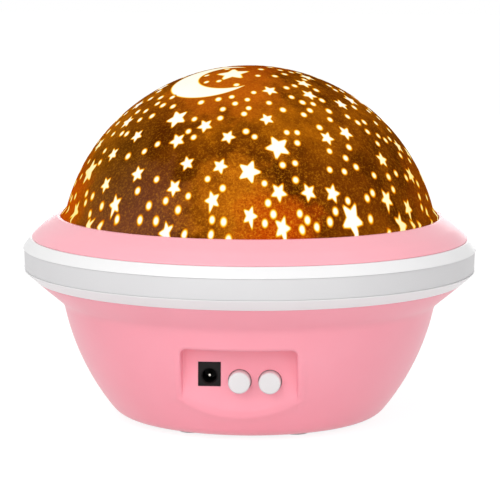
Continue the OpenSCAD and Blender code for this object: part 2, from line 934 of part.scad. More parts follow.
lower_bowl();
upper_collar();
white_rim();
rim_band();
rubber_feet();
housing_screws();
battery_door();
battery_cells();
battery_springs();
battery_contacts();
main_board();
board_screws();
dc_socket();
dc_pin();
light_switch();
rotation_switch();
light_button();
rotation_button();
turntable();
motor_pinion();
motor_gearbox();
motor_can();
motor_screws();
lamp_cap();
led_board();
led_white();
led_red();
led_green();
led_blue();
led_screws();
film_dome();
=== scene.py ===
"""Dresses the star night light projector: smooth mouldings, the printed film dome with its painted glow, and
the studio.
"""

from __future__ import annotations

import json
import logging
import math
from dataclasses import dataclass, field
from enum import Enum
from typing import Any, Callable, Sequence

import bmesh
import bpy
import numpy as np
from mathutils import Matrix, Vector

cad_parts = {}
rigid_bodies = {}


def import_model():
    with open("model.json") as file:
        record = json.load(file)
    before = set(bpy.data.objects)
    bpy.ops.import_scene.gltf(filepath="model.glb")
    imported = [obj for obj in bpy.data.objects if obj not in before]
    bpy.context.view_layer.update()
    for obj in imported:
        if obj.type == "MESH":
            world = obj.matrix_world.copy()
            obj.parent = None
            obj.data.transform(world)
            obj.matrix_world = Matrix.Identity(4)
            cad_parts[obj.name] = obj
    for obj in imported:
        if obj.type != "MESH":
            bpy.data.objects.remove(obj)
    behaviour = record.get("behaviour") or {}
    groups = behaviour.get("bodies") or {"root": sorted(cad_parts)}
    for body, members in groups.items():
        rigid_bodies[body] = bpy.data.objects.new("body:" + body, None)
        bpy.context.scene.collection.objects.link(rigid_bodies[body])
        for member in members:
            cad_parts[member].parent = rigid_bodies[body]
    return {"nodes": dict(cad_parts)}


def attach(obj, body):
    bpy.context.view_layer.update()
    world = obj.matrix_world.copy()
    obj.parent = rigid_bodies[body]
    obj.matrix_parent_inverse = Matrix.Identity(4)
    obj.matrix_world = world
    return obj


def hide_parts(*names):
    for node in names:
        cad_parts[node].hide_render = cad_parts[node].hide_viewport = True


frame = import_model()

MM = 0.001
LOG = logging.getLogger("star_projector")
Profile = list[tuple[float, float]]
Colour = tuple[float, float, float, float]

# Sizes that several sub-assemblies share, in millimetres from the floor and from the lamp's axis.
WALL = 2.0  # thickness of the housings
PANEL_Y = 50.4  # distance of the recess's panel
BUTTON_Z = 20.7  # height of the buttons and of the socket
PITCH = 9.6  # step from one of them to the next
SOCKET = (3.6, -1.8, 6.0)  # the socket's half width, bottom and top, from that height
RIM_LOW = (71.2, 46.5)  # radius and height of the rim's lower edge
RIM_TOP = (72.7, 60.3)  # the same of its upper edge
LIP = (62.8, 67.5)  # the same of the collar's lip under the dome
POST_RING = 33.6  # radius of the ring of screw posts
POST_SPOTS = [
    (POST_RING * math.cos(math.radians(a)), POST_RING * math.sin(math.radians(a)))
    for a in (60, 120, 240, 300)
]
POST_R = 4.05
POST_Z = 26.0  # height where the posts of the two housings meet
SCREW_R = 1.47

BLACK = (0.0, 0.0, 0.0, 1.0)
WHITE = (1.0, 1.0, 1.0, 1.0)


# --- shader maths -------------------------------------------------------------------------------


class Wire:
    """A shader socket that can be used in Python expressions."""

    def __init__(self, graph: "Graph", socket: bpy.types.NodeSocket) -> None:
        """Wraps a socket.

        Args:
            graph: The graph that new Math nodes go into.
            socket: The output socket to wrap.
        """
        self.graph = graph
        self.socket = socket

    def _math(self, operation: str, *values: Any) -> "Wire":
        """Adds a Math node over the given values and returns its result."""
        return self.graph.node("ShaderNodeMath", {"operation": operation}, dict(enumerate(values)))

    def __add__(self, other: Any) -> "Wire":
        """Adds a value."""
        return self._math("ADD", self, other)

    def __mul__(self, other: Any) -> "Wire":
        """Multiplies by a value."""
        return self._math("MULTIPLY", self, other)

    def __sub__(self, other: Any) -> "Wire":
        """Subtracts a value."""
        return self._math("SUBTRACT", self, other)

    def __rsub__(self, other: Any) -> "Wire":
        """Subtracts this from a value."""
        return self._math("SUBTRACT", other, self)

    def __truediv__(self, other: Any) -> "Wire":
        """Divides by a value."""
        return self._math("DIVIDE", self, other)

    __radd__ = __add__
    __rmul__ = __mul__

    def clamped(self) -> "Wire":
        """Limits the value to 0 to 1."""
        return self.graph.node("ShaderNodeClamp", {}, {"Value": self})


class Graph:
    """The node tree of one material, or of the world."""

    def __init__(self, owner: bpy.types.Material | bpy.types.World) -> None:
        """Empties a new material's or world's tree.

        Args:
            owner: The material or the world.
        """
        self.owner = owner
        self.owner.use_nodes = True
        self.tree = owner.node_tree
        self.tree.nodes.clear()
        self._point: Wire | None = None

    @classmethod
    def material(cls, name: str) -> "Graph":
        """Starts the tree of a new material."""
        return cls(bpy.data.materials.new(name))

    def node(self, kind: str, settings: dict[str, Any], inputs: dict[Any, Any], out: Any = 0) -> Wire:
        """Adds one node.

        Args:
            kind: The node's type name.
            settings: Its properties, set first; "stops" fills a colour ramp.
            inputs: Socket names or indices, with values or wires.
            out: The output to return.

        Returns:
            The chosen output as a wire.
        """
        made = self.tree.nodes.new(kind)
        for key, value in settings.items():
            if key == "stops":
                ramp = made.color_ramp
                while len(ramp.elements) < len(value):
                    ramp.elements.new(0.5)
                for element, (place, colour) in zip(ramp.elements, value):
                    element.position = place
                    element.color = colour
            else:
                setattr(made, key, value)
        for key, value in inputs.items():
            if isinstance(value, Wire):
                self.tree.links.new(value.socket, made.inputs[key])
            else:
                made.inputs[key].default_value = value
        return Wire(self, made.outputs[out])

    def point(self) -> Wire:
        """Gives the surface point, through one node that all its users share.

        Returns:
            The point in the object's own frame, in metres.
        """
        if self._point is None:
            self._point = self.node("ShaderNodeTexCoord", {}, {}, "Object")
        return self._point

    def axis(self, name: str) -> Wire:
        """Returns one coordinate of the surface point, in millimetres."""
        return self.node("ShaderNodeSeparateXYZ", {}, {0: self.point()}, name) * (1.0 / MM)

    def noise(self, size_mm: float, detail: float = 2.0, roughness: float = 0.5) -> Wire:
        """Adds a noise over the surface point.

        Args:
            size_mm: About how large its blotches are.
            detail: How many finer layers it has.
            roughness: How strong they are.

        Returns:
            The noise value.
        """
        scale = 1.0 / (size_mm * MM)
        sockets = {"Vector": self.point(), "Scale": scale, "Detail": detail, "Roughness": roughness}
        return self.node("ShaderNodeTexNoise", {"noise_dimensions": "3D"}, sockets)

    def mix(self, factor: Any, a: Any, b: Any) -> Wire:
        """Blends two colours by a factor."""
        return self.node("ShaderNodeMix", {"data_type": "RGBA"}, {0: factor, 6: a, 7: b}, 2)

    def ramp(self, factor: Wire, stops: list[tuple[float, Colour]]) -> Wire:
        """Maps a value to a colour through a ramp."""
        return self.node("ShaderNodeValToRGB", {"stops": stops}, {0: factor})

    def bump(self, height: Wire, strength: float, depth_mm: float) -> Wire:
        """Turns a height into a bumped normal."""
        sockets = {"Height": height, "Strength": strength, "Distance": depth_mm * MM}
        return self.node("ShaderNodeBump", {}, sockets)

    def eye(self) -> Wire:
        """Tells the camera's view, straight or by way of gloss or resin, from the lighting.

        Returns:
            1 for a ray of the view and 0 for any other.
        """
        rays = [self.node("ShaderNodeLightPath", {}, {}, f"Is {kind} Ray")
                for kind in ("Camera", "Glossy", "Transmission")]
        return (rays[0] + rays[1] + rays[2]).clamped()

    def close(self, shader: Wire, output: str = "ShaderNodeOutputMaterial") -> Any:
        """Links the last shader to the tree's output, and returns the material or the world."""
        self.tree.links.new(shader.socket, self.tree.nodes.new(output).inputs["Surface"])
        return self.owner

    def finish(self, sockets: dict[str, Any]) -> bpy.types.Material:
        """Ends the tree in a Principled shader with these inputs, and returns the material."""
        return self.close(self.node("ShaderNodeBsdfPrincipled", {}, sockets))


def srgb(r: float, g: float, b: float) -> Colour:
    """Turns 0 to 255 screen values into a linear colour with full alpha."""
    screen = (r / 255, g / 255, b / 255)
    return (*(c / 12.92 if c <= 0.04045 else ((c + 0.055) / 1.055) ** 2.4 for c in screen), 1.0)


# --- finishes -----------------------------------------------------------------------------------


@dataclass(frozen=True)
class Moulded:
    """Injection-moulded plastic: an even colour with faint flow, and a fine skin."""

    name: str
    colour: Colour
    shade: Colour
    roughness: float = 0.35
    skin_mm: float = 0.5
    skin_depth_mm: float = 0.01
    coat: float = 0.0
    subsurface: float = 0.0
    gloss: float = 0.5

    def material(self) -> bpy.types.Material:
        """Builds the plastic from two noises: slow flow marks, and the fine skin.

        Returns:
            The material.
        """
        g = Graph.material(self.name)
        flow = g.noise(22.0, 3.0)
        skin = g.noise(self.skin_mm, 3.0, 0.6)
        sockets = {
            "Base Color": g.mix((flow * 1.6 - 0.3).clamped(), self.colour, self.shade),
            "Roughness": self.roughness + (skin - 0.5) * 0.08 + (flow - 0.5) * 0.06,
            "Normal": g.bump(skin, 0.5, self.skin_depth_mm),
            "Coat Weight": self.coat,
            "Coat Roughness": 0.25,
            "Specular IOR Level": self.gloss,
        }
        if self.subsurface:
            sockets["Subsurface Weight"] = self.subsurface
            sockets["Subsurface Radius"] = (0.004, 0.0016, 0.0018)
            sockets["Subsurface Scale"] = 1.0
        return g.finish(sockets)


@dataclass(frozen=True)
class Metal:
    """Plated or drawn steel with fine scratches."""

    name: str
    colour: Colour
    roughness: float = 0.3

    def material(self) -> bpy.types.Material:
        """Builds the metal, clouded over and finely scratched.

        Returns:
            The material.
        """
        g = Graph.material(self.name)
        cloud = g.noise(2.2, 4.0)
        fine = g.noise(0.25, 2.0, 0.7)
        dark = (*(c * 0.72 for c in self.colour[:3]), 1.0)
        return g.finish({
            "Base Color": g.mix((cloud * 1.4 - 0.2).clamped(), self.colour, dark),
            "Metallic": 1.0,
            "Roughness": self.roughness + (fine - 0.5) * 0.2,
            "Normal": g.bump(fine, 0.3, 0.01),
        })


@dataclass(frozen=True)
class Epoxy:
    """The clear, tinted resin of an LED, with a soft glow inside."""

    name: str
    colour: Colour
    glow: float

    def material(self) -> bpy.types.Material:
        """Builds the resin with a faint haze.

        Returns:
            The material.
        """
        g = Graph.material(self.name)
        haze = g.noise(1.2, 2.0)
        return g.finish({
            "Base Color": g.mix(haze, self.colour, WHITE),
            "Roughness": 0.06 + haze * 0.06,
            "Transmission Weight": 0.6,
            "IOR": 1.5,
            "Emission Color": self.colour,
            "Emission Strength": self.glow,
        })


@dataclass(frozen=True)
class Laminate:
    """Circuit board laminate: solder mask with the weave just showing and copper runs under it."""

    name: str
    mask: Colour
    trace: Colour

    def material(self) -> bpy.types.Material:
        """Builds the board's surface from a wave for the weave and cell edges for the runs.

        Returns:
            The material.
        """
        g = Graph.material(self.name)
        weave = g.node("ShaderNodeTexWave", {"bands_direction": "X"},
                       {"Vector": g.point(), "Scale": 900.0, "Distortion": 0.6}, "Fac")
        runs = g.node("ShaderNodeTexVoronoi", {"feature": "DISTANCE_TO_EDGE", "distance": "EUCLIDEAN"},
                      {"Vector": g.point(), "Scale": 260.0}, "Distance")
        track = (1.0 - runs * 14.0).clamped()
        return g.finish({
            "Base Color": g.mix(track, self.mask, self.trace),
            "Roughness": 0.32 + weave * 0.06,
            "Normal": g.bump(track * 0.7 + weave * 0.1, 0.4, 0.03),
        })


@dataclass(frozen=True)
class Zone:
    """A soft patch of another colour on the film, used for print mottle and for painted glow alike."""

    at: tuple[float, float, float]
    reach: float
    tone: Colour
    weight: float

    def strength(self, g: Graph, blur: Wire) -> Wire:
        """Works out how strongly the patch shows at a point.

        Args:
            g: The material that takes it.
            blur: What breaks up its edge.

        Returns:
            A value from 0 to its weight.
        """
        at = tuple(c * MM for c in self.at)
        away = g.node("ShaderNodeVectorMath", {"operation": "DISTANCE"}, {0: g.point(), 1: at}, "Value")
        near = (1.0 - away / (self.reach * MM) + blur).clamped()
        return near * (2.0 - near) * self.weight


@dataclass(frozen=True)
class Film:
    """The dark printed film of the dome, mottled amber with a sparkling grain; the lamp's light through it is
    painted in as the film's own glow.
    """

    name: str = "printed_film"
    # Print mottle and painted glow: the bright zones low at the front centre are the lamp's painted hot spot,
    # and the reddish zones at the left, right and top are painted glow at the dome's limbs.
    tone_and_glow_zones: tuple[Zone, ...] = (
        Zone((-33.0, -50.0, 70.0), 26.0, srgb(106, 58, 40), 0.85),
        Zone((-42.0, -34.0, 90.0), 22.0, srgb(86, 52, 8), 0.6),
        Zone((34.0, -50.0, 72.0), 25.0, srgb(110, 48, 4), 0.75),
        Zone((0.0, -58.0, 76.0), 22.0, srgb(210, 114, 16), 0.85),
        Zone((11.0, -58.0, 69.0), 18.0, srgb(200, 66, 3), 0.85),
        Zone((-6.0, -22.0, 110.0), 21.0, srgb(200, 94, 14), 0.8),
        Zone((30.0, 50.0, 74.0), 22.0, srgb(190, 92, 16), 0.7),
        Zone((-30.0, 48.0, 84.0), 24.0, srgb(100, 56, 30), 0.7),
        Zone((-60.0, -12.0, 70.0), 20.0, srgb(196, 66, 2), 0.75),
        Zone((60.0, -12.0, 76.0), 22.0, srgb(128, 50, 3), 0.7),
        Zone((2.0, -4.0, 117.0), 15.0, srgb(168, 62, 6), 0.6),
    )
    # painted glints: golden sparks in the grain, gathered round the lamp's painted hot spot low at the front
    sparkle: Zone = Zone((4.0, -58.0, 74.0), 30.0, srgb(250, 164, 30), 1.0)
    dip: Colour = srgb(60, 22, 2)

    def tone(self, g: Graph) -> tuple[Wire, Wire]:
        """Lays clouds, zones, sparks and dips over each other.

        Args:
            g: The material that takes them.

        Returns:
            The film's glowing colour and its grain.
        """
        cloud = g.noise(30.0, 4.0, 0.55)
        blotch = g.noise(8.0, 3.0, 0.6)
        grain = g.noise(0.9, 3.0, 0.8)
        speck = g.noise(0.5, 2.0, 0.8)
        blur = (cloud - 0.5) * 1.3 + (blotch - 0.5) * 0.9
        shade = ((cloud - 0.5) * 3.0 + (blotch - 0.5) * 1.3 + 0.42).clamped()
        tone = g.ramp(shade, [
            (0.0, srgb(88, 38, 2)),
            (0.35, srgb(118, 57, 4)),
            (0.65, srgb(146, 76, 5)),
            (1.0, srgb(184, 102, 10)),
        ])
        for zone in self.tone_and_glow_zones:
            tone = g.mix(zone.strength(g, blur), tone, zone.tone)
        # painted hot spot: nearness to the lamp's bright spot, which strengthens the sparks and dips
        hot_spot = self.sparkle.strength(g, blur)
        spark = ((grain - 0.5) * 2.6 + (speck - 0.5) * 1.6).clamped() * (0.35 + hot_spot * 0.65)
        dip = ((0.5 - grain) * 2.6 + (0.5 - speck) * 1.4).clamped() * (0.4 + hot_spot * 0.4)
        lit = g.mix(spark, tone, self.sparkle.tone)
        return g.mix(dip, lit, self.dip), grain

    def material(self) -> bpy.types.Material:
        """Builds the film, with the lamp's light through it painted in as its own glow.

        Returns:
            The material.
        """
        g = Graph.material(self.name)
        glow, grain = self.tone(g)
        return g.finish({
            "Base Color": g.mix(0.95, glow, BLACK),
            "Roughness": 0.55 + grain * 0.1,
            "Specular IOR Level": 0.0,
            # painted glow: the lamp's light shining through the film, set as the film's own emission
            "Emission Color": glow,
            "Emission Strength": 0.97,
            "Normal": g.bump(grain, 0.2, 0.02),
        })


@dataclass(frozen=True)
class LitWindow:
    """Clear windows in the film: white where the lamp shines through, with a warm fringe."""

    name: str = "lit_window"
    film: Film = Film()

    def material(self) -> bpy.types.Material:
        """Builds the glow from the windows' own core values, warmer at the dome's sides and top.

        Returns:
            The material.
        """
        g = Graph.material(self.name)
        core = g.node("ShaderNodeAttribute", {"attribute_name": "window_core"}, {}, "Fac")
        cloud = g.noise(24.0, 2.0)
        x = g.axis("X")
        side = ((x * x - 1100.0) / 1900.0).clamped()
        top = ((g.axis("Z") - 106.0) / 10.0).clamped()
        warm = (core + (cloud - 0.5) * 0.1 - side * 0.2 - top * 0.08).clamped()
        glow = g.ramp(warm, [
            (0.0, srgb(176, 84, 4)),
            (0.22, srgb(200, 100, 4)),
            (0.46, srgb(250, 158, 8)),
            (0.72, srgb(255, 228, 72)),
            (0.9, srgb(255, 255, 214)),
            (0.97, srgb(255, 255, 252)),
        ])
        around, grain = self.film.tone(g)
        return g.finish({
            "Base Color": BLACK,
            "Roughness": 0.5 + grain * 0.1,
            "Specular IOR Level": 0.0,
            "Emission Color": g.mix((core * 3.4).clamped(), around, glow),
            "Emission Strength": 1.0,
        })


class Finishes:
    """Every finish of the lamp, made once."""

    def __init__(self) -> None:
        """Builds all the materials."""
        recipes = {
            "pink": Moulded("pink_shell", srgb(252, 165, 180), srgb(249, 159, 174), 0.34, subsurface=0.05),
            # painted sheen: the collar's paler pink is the bowl's pink lightened for the sky its tilted top
            # reflects
            "collar": Moulded("pink_collar", srgb(255, 177, 189), srgb(252, 173, 185), 0.3, subsurface=0.05),
            "white": Moulded("white_trim", srgb(240, 240, 240), srgb(236, 236, 237), 0.3),
            "band": Moulded("satin_band", srgb(215, 215, 216), srgb(211, 211, 212), 0.42, 0.3, 0.006),
            "button": Moulded("button_plastic", srgb(224, 226, 226), srgb(219, 221, 221), 0.4),
            "black": Moulded("black_plastic", srgb(25, 23, 23), srgb(18, 17, 17), 0.5, 0.3, 0.02, gloss=0.15),
            "rubber": Moulded("foot_rubber", srgb(236, 232, 232), srgb(226, 222, 222), 0.75, 0.4, 0.05),
            "table": Moulded("table_plastic", srgb(232, 232, 228), srgb(226, 226, 221), 0.4),
            "gear": Moulded("gear_plastic", srgb(236, 234, 224), srgb(228, 226, 214), 0.45),
            "cell": Moulded("cell_jacket", srgb(70, 78, 92), srgb(58, 66, 80), 0.28, 0.3, 0.004, coat=0.4),
            "zinc": Metal("zinc_steel", srgb(200, 202, 206), 0.34),
            "nickel": Metal("spring_nickel", srgb(214, 210, 200), 0.2),
            "can": Metal("can_steel", srgb(182, 184, 188), 0.36),
            "green_board": Laminate("board_laminate", srgb(22, 84, 46), srgb(48, 122, 70)),
            "white_board": Laminate("led_laminate", srgb(236, 236, 234), srgb(216, 218, 214)),
            "led_white": Epoxy("led_white", srgb(255, 246, 214), 2.0),
            "led_red": Epoxy("led_red", srgb(255, 96, 76), 0.6),
            "led_green": Epoxy("led_green", srgb(110, 240, 140), 0.3),
            "led_blue": Epoxy("led_blue", srgb(110, 150, 255), 0.3),
            "film": Film(),
            "window": LitWindow(),
        }
        self.library: dict[str, bpy.types.Material] = {
            key: recipe.material() for key, recipe in recipes.items()
        }

    def __getitem__(self, key: str) -> bpy.types.Material:
        """Returns the material of that name."""
        return self.library[key]


# --- mesh tools ---------------------------------------------------------------------------------


def arc(cx: float, cz: float, r: float, a0: float, a1: float, n: int) -> Profile:
    """Returns n + 1 points on an arc, with its angles in degrees."""
    angles = [math.radians(a0 + (a1 - a0) * i / n) for i in range(n + 1)]
    return [(cx + r * math.cos(a), cz + r * math.sin(a)) for a in angles]


def soften(points: Sequence[tuple[float, float, float]], steps: int = 6) -> Profile:
    """Rounds the corners of a closed outline.

    Args:
        points: The corners as x, z and rounding radius.
        steps: Segments in each rounded corner.

    Returns:
        The outline as plain points.
    """
    out: Profile = []
    for i, (x, z, r) in enumerate(points):
        if r <= 0:
            out.append((x, z))
            continue
        b = Vector((x, z))
        u = (Vector(points[i - 1][:2]) - b).normalized()
        v = (Vector(points[(i + 1) % len(points)][:2]) - b).normalized()
        half = math.acos(max(-1.0, min(1.0, u.dot(v)))) / 2
        mid = b + (u + v).normalized() * (r / math.sin(half))
        p = b + u * (r / math.tan(half)) - mid
        q = b + v * (r / math.tan(half)) - mid
        turn = math.copysign(math.pi - 2 * half, p.x * q.y - p.y * q.x)
        for k in range(steps + 1):
            a = turn * k / steps
            spun = Vector((p.x * math.cos(a) - p.y * math.sin(a), p.x * math.sin(a) + p.y * math.cos(a)))
            out.append(tuple(mid + spun))
    return out


def show(name: str, data: bpy.types.ID) -> bpy.types.Object:
    """Puts a mesh, a light or a camera in the scene.

    Args:
        name: The object's name.
        data: What the object shows.

    Returns:
        The new object.
    """
    obj = bpy.data.objects.new(name, data)
    bpy.context.scene.collection.objects.link(obj)
    return obj


def mesh_object(name: str, verts: Sequence, faces: list, material: bpy.types.Material) -> bpy.types.Object:
    """Makes an object from points in millimetres.

    Args:
        name: The piece's name.
        verts: Points in millimetres.
        faces: Faces as lists of point numbers.
        material: The piece's finish.

    Returns:
        The new object, with its normals outwards.
    """
    mesh = bpy.data.meshes.new(name)
    mesh.from_pydata([tuple(float(c) * MM for c in v) for v in verts], [], faces)
    mesh.materials.append(material)
    obj = show(name, mesh)
    face_out(obj)
    return obj


def face_out(obj: bpy.types.Object) -> None:
    """Turns a closed mesh's faces outwards.

    Args:
        obj: The piece.
    """
    bm = bmesh.new()
    bm.from_mesh(obj.data)
    bmesh.ops.recalc_face_normals(bm, faces=bm.faces)
    if bm.calc_volume(signed=True) < 0:
        bmesh.ops.reverse_faces(bm, faces=bm.faces)
    bm.to_mesh(obj.data)
    bm.free()


def smooth(obj: bpy.types.Object, degrees: float = 32.0) -> None:
    """Shades a mesh smooth apart from its sharp edges."""
    obj.data.shade_smooth()
    obj.data.set_sharp_from_angle(angle=math.radians(degrees))


def stitch(rings: Sequence[Sequence[int]], closed: bool) -> list[list[int]]:
    """Joins rings of points with faces, which are triangles where a ring is one point on the axis.

    Args:
        rings: Each ring's point numbers, equally many in each.
        closed: Whether the last ring joins the first.

    Returns:
        The faces.
    """
    faces = []
    for low, high in zip(rings, [*rings[1:], rings[0]] if closed else rings[1:]):
        for k in range(len(low)):
            m = (k + 1) % len(low)
            quad = list(dict.fromkeys([low[k], low[m], high[m], high[k]]))
            if len(quad) > 2:
                faces.append(quad)
    return faces


def revolve(name: str, outline: Profile, material: bpy.types.Material, segments: int) -> bpy.types.Object:
    """Turns a closed outline about the lamp's axis.

    Args:
        name: The piece's name.
        outline: Radius and height points, in millimetres, closed.
        material: The piece's finish.
        segments: Steps round the axis.

    Returns:
        The turned solid.
    """
    verts: list[tuple[float, float, float]] = []
    rings: list[list[int]] = []
    for r, z in outline:
        if r < 1e-6:
            rings.append([len(verts)] * segments)
            verts.append((0.0, 0.0, z))
            continue
        rings.append(list(range(len(verts), len(verts) + segments)))
        verts += [(x, y, z) for x, y in ring(0.0, 0.0, r, segments)]
    return mesh_object(name, verts, stitch(rings, closed=True), material)


def ring(x: float, y: float, r: float, sides: int) -> Profile:
    """Returns points round a circle."""
    turns = [2 * math.pi * k / sides for k in range(sides)]
    return [(x + r * math.cos(a), y + r * math.sin(a)) for a in turns]


def prism(outline: Profile, z0: float, z1: float) -> bpy.types.Object:
    """Makes an upright prism, as a tool for cutting or joining.

    Args:
        outline: Its corners, seen from above.
        z0: Its bottom.
        z1: Its top.

    Returns:
        The tool.
    """
    n = len(outline)
    verts = [(x, y, z) for z in (z0, z1) for x, y in outline]
    faces = [list(range(n))[::-1], list(range(n, 2 * n))]
    faces += [[i, (i + 1) % n, n + (i + 1) % n, n + i] for i in range(n)]
    return mesh_object("tool", verts, faces, blank())


def block(low: Sequence[float], high: Sequence[float]) -> bpy.types.Object:
    """Makes a rectangular tool from its lowest to its highest corner."""
    corners = [(low[0], low[1]), (high[0], low[1]), (high[0], high[1]), (low[0], high[1])]
    return prism(corners, low[2], high[2])


def rod(x: float, y: float, r: float, z0: float, z1: float, sides: int = 64) -> bpy.types.Object:
    """Makes an upright round tool."""
    return prism(ring(x, y, r, sides), z0, z1)


def blank() -> bpy.types.Material:
    """Returns the placeholder material of the tools."""
    return bpy.data.materials.get("tool") or bpy.data.materials.new("tool")


class Cut(Enum):
    """What a tool does to the piece that it meets."""

    AWAY = "DIFFERENCE"
    JOIN = "UNION"


def apply_modifiers(obj: bpy.types.Object) -> None:
    """Bakes an object's modifiers into its mesh.

    Args:
        obj: The object, which has none of them afterwards.
    """
    graph = bpy.context.evaluated_depsgraph_get()
    mesh = bpy.data.meshes.new_from_object(obj.evaluated_get(graph), depsgraph=graph)
    obj.modifiers.clear()
    obj.data = mesh


def machine(obj: bpy.types.Object, tool: bpy.types.Object, cut: Cut = Cut.AWAY) -> None:
    """Cuts or joins a tool with a piece, and throws the tool away.

    Args:
        obj: The piece, which keeps one finish.
        tool: The closed tool.
        cut: What the tool does.
    """
    material = obj.data.materials[0]
    step = obj.modifiers.new("cut", "BOOLEAN")
    step.operation = cut.value
    step.solver = "EXACT"
    step.object = tool
    apply_modifiers(obj)
    obj.data.materials.clear()
    obj.data.materials.append(material)
    for polygon in obj.data.polygons:
        polygon.material_index = 0
    bpy.data.objects.remove(tool)


def lay_along_y(obj: bpy.types.Object, x: float, y: float, z: float) -> None:
    """Turns a mesh made along +Z to point along -Y and moves it to a place, in its own mesh."""
    obj.data.transform(Matrix.Translation(Vector((x, y, z)) * MM) @ Matrix.Rotation(math.radians(90), 4, "X"))


def fit(obj: bpy.types.Object, node: str, body: str, sharp: float) -> None:
    """Shades a finished piece and puts it in place of a node.

    Args:
        obj: The piece.
        node: The node that it replaces.
        body: The body that it rides on.
        sharp: The angle from which its edges stay sharp, in degrees.
    """
    smooth(obj, sharp)
    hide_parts(node)
    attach(obj, body)
    LOG.info("%s: %d faces in place of %s", obj.name, len(obj.data.polygons), node)


class Sower:
    """A geometry node group that sets a form on each of some points, sized, turned and painted."""

    def __init__(self, name: str, inputs: dict[str, Any]) -> None:
        """Starts the group, with what sets, joins and paints the forms.

        Args:
            name: The group's name.
            inputs: Its own inputs, each with a number or with the name of a socket's type.
        """
        self.tree = bpy.data.node_groups.new(name, "GeometryNodeTree")
        face = self.tree.interface
        face.new_socket("Geometry", in_out="INPUT", socket_type="NodeSocketGeometry")
        for key, value in inputs.items():
            if isinstance(value, str):
                face.new_socket(key, in_out="INPUT", socket_type=value)
            else:
                face.new_socket(key, in_out="INPUT", socket_type="NodeSocketFloat").default_value = value
        face.new_socket("Finish", in_out="INPUT", socket_type="NodeSocketMaterial")
        face.new_socket("Geometry", in_out="OUTPUT", socket_type="NodeSocketGeometry")
        self.entry = self.add("NodeGroupInput")
        self.forms = self.add("GeometryNodeInstanceOnPoints")
        real, paint = self.add("GeometryNodeRealizeInstances"), self.add("GeometryNodeSetMaterial")
        self.link(self.entry, "Geometry", self.forms, "Points")
        self.link(self.forms, "Instances", real, "Geometry")
        self.link(real, "Geometry", paint, "Geometry")
        self.link(self.entry, "Finish", paint, "Material")
        self.link(paint, "Geometry", self.add("NodeGroupOutput"), "Geometry")

    def add(self, kind: str, **sockets: Any) -> bpy.types.Node:
        """Adds a node.

        Args:
            kind: The node's type name.
            sockets: Values for its inputs, with underscores for the spaces in their names.

        Returns:
            The node.
        """
        node = self.tree.nodes.new(kind)
        for key, value in sockets.items():
            node.inputs[key.replace("_", " ")].default_value = value
        return node

    def link(self, source: bpy.types.Node, out: str | int, target: bpy.types.Node, into: str | int) -> None:
        """Links an output to an input."""
        self.tree.links.new(source.outputs[out], target.inputs[into])

    def named(self, name: str, kind: str, target: bpy.types.Node, into: str | int) -> None:
        """Feeds an input from an attribute of the points.

        Args:
            name: The attribute's name.
            kind: Its data type.
            target: The node that takes it.
            into: The input.
        """
        reader = self.add("GeometryNodeInputNamedAttribute", Name=name)
        reader.data_type = kind
        self.link(reader, "Attribute", target, into)

    def sow(
        self, name: str, points: list[Vector], layers: dict[str, list], values: dict[str, Any]
    ) -> bpy.types.Object:
        """Runs the group over some points and keeps the result as one plain mesh.

        Args:
            name: The new object's name.
            points: The places, in millimetres.
            layers: The points' attributes: vectors, or whole numbers.
            values: Values for the group's inputs, by their names.

        Returns:
            The object, without a modifier.
        """
        mesh = bpy.data.meshes.new(name)
        mesh.from_pydata([tuple(p * MM) for p in points], [], [])
        for key, column in layers.items():
            if isinstance(column[0], int):
                mesh.attributes.new(key, "INT", "POINT").data.foreach_set("value", column)
            else:
                layer = mesh.attributes.new(key, "FLOAT_VECTOR", "POINT")
                layer.data.foreach_set("vector", [c for v in column for c in v])
        obj = show(name, mesh)
        step = obj.modifiers.new("sow", "NODES")
        step.node_group = self.tree
        ids = {s.name: s.identifier for s in self.tree.interface.items_tree if s.in_out == "INPUT"}
        for key, value in values.items():
            step[ids[key]] = value
        apply_modifiers(obj)
        return obj


# --- sub-assemblies -----------------------------------------------------------------------------


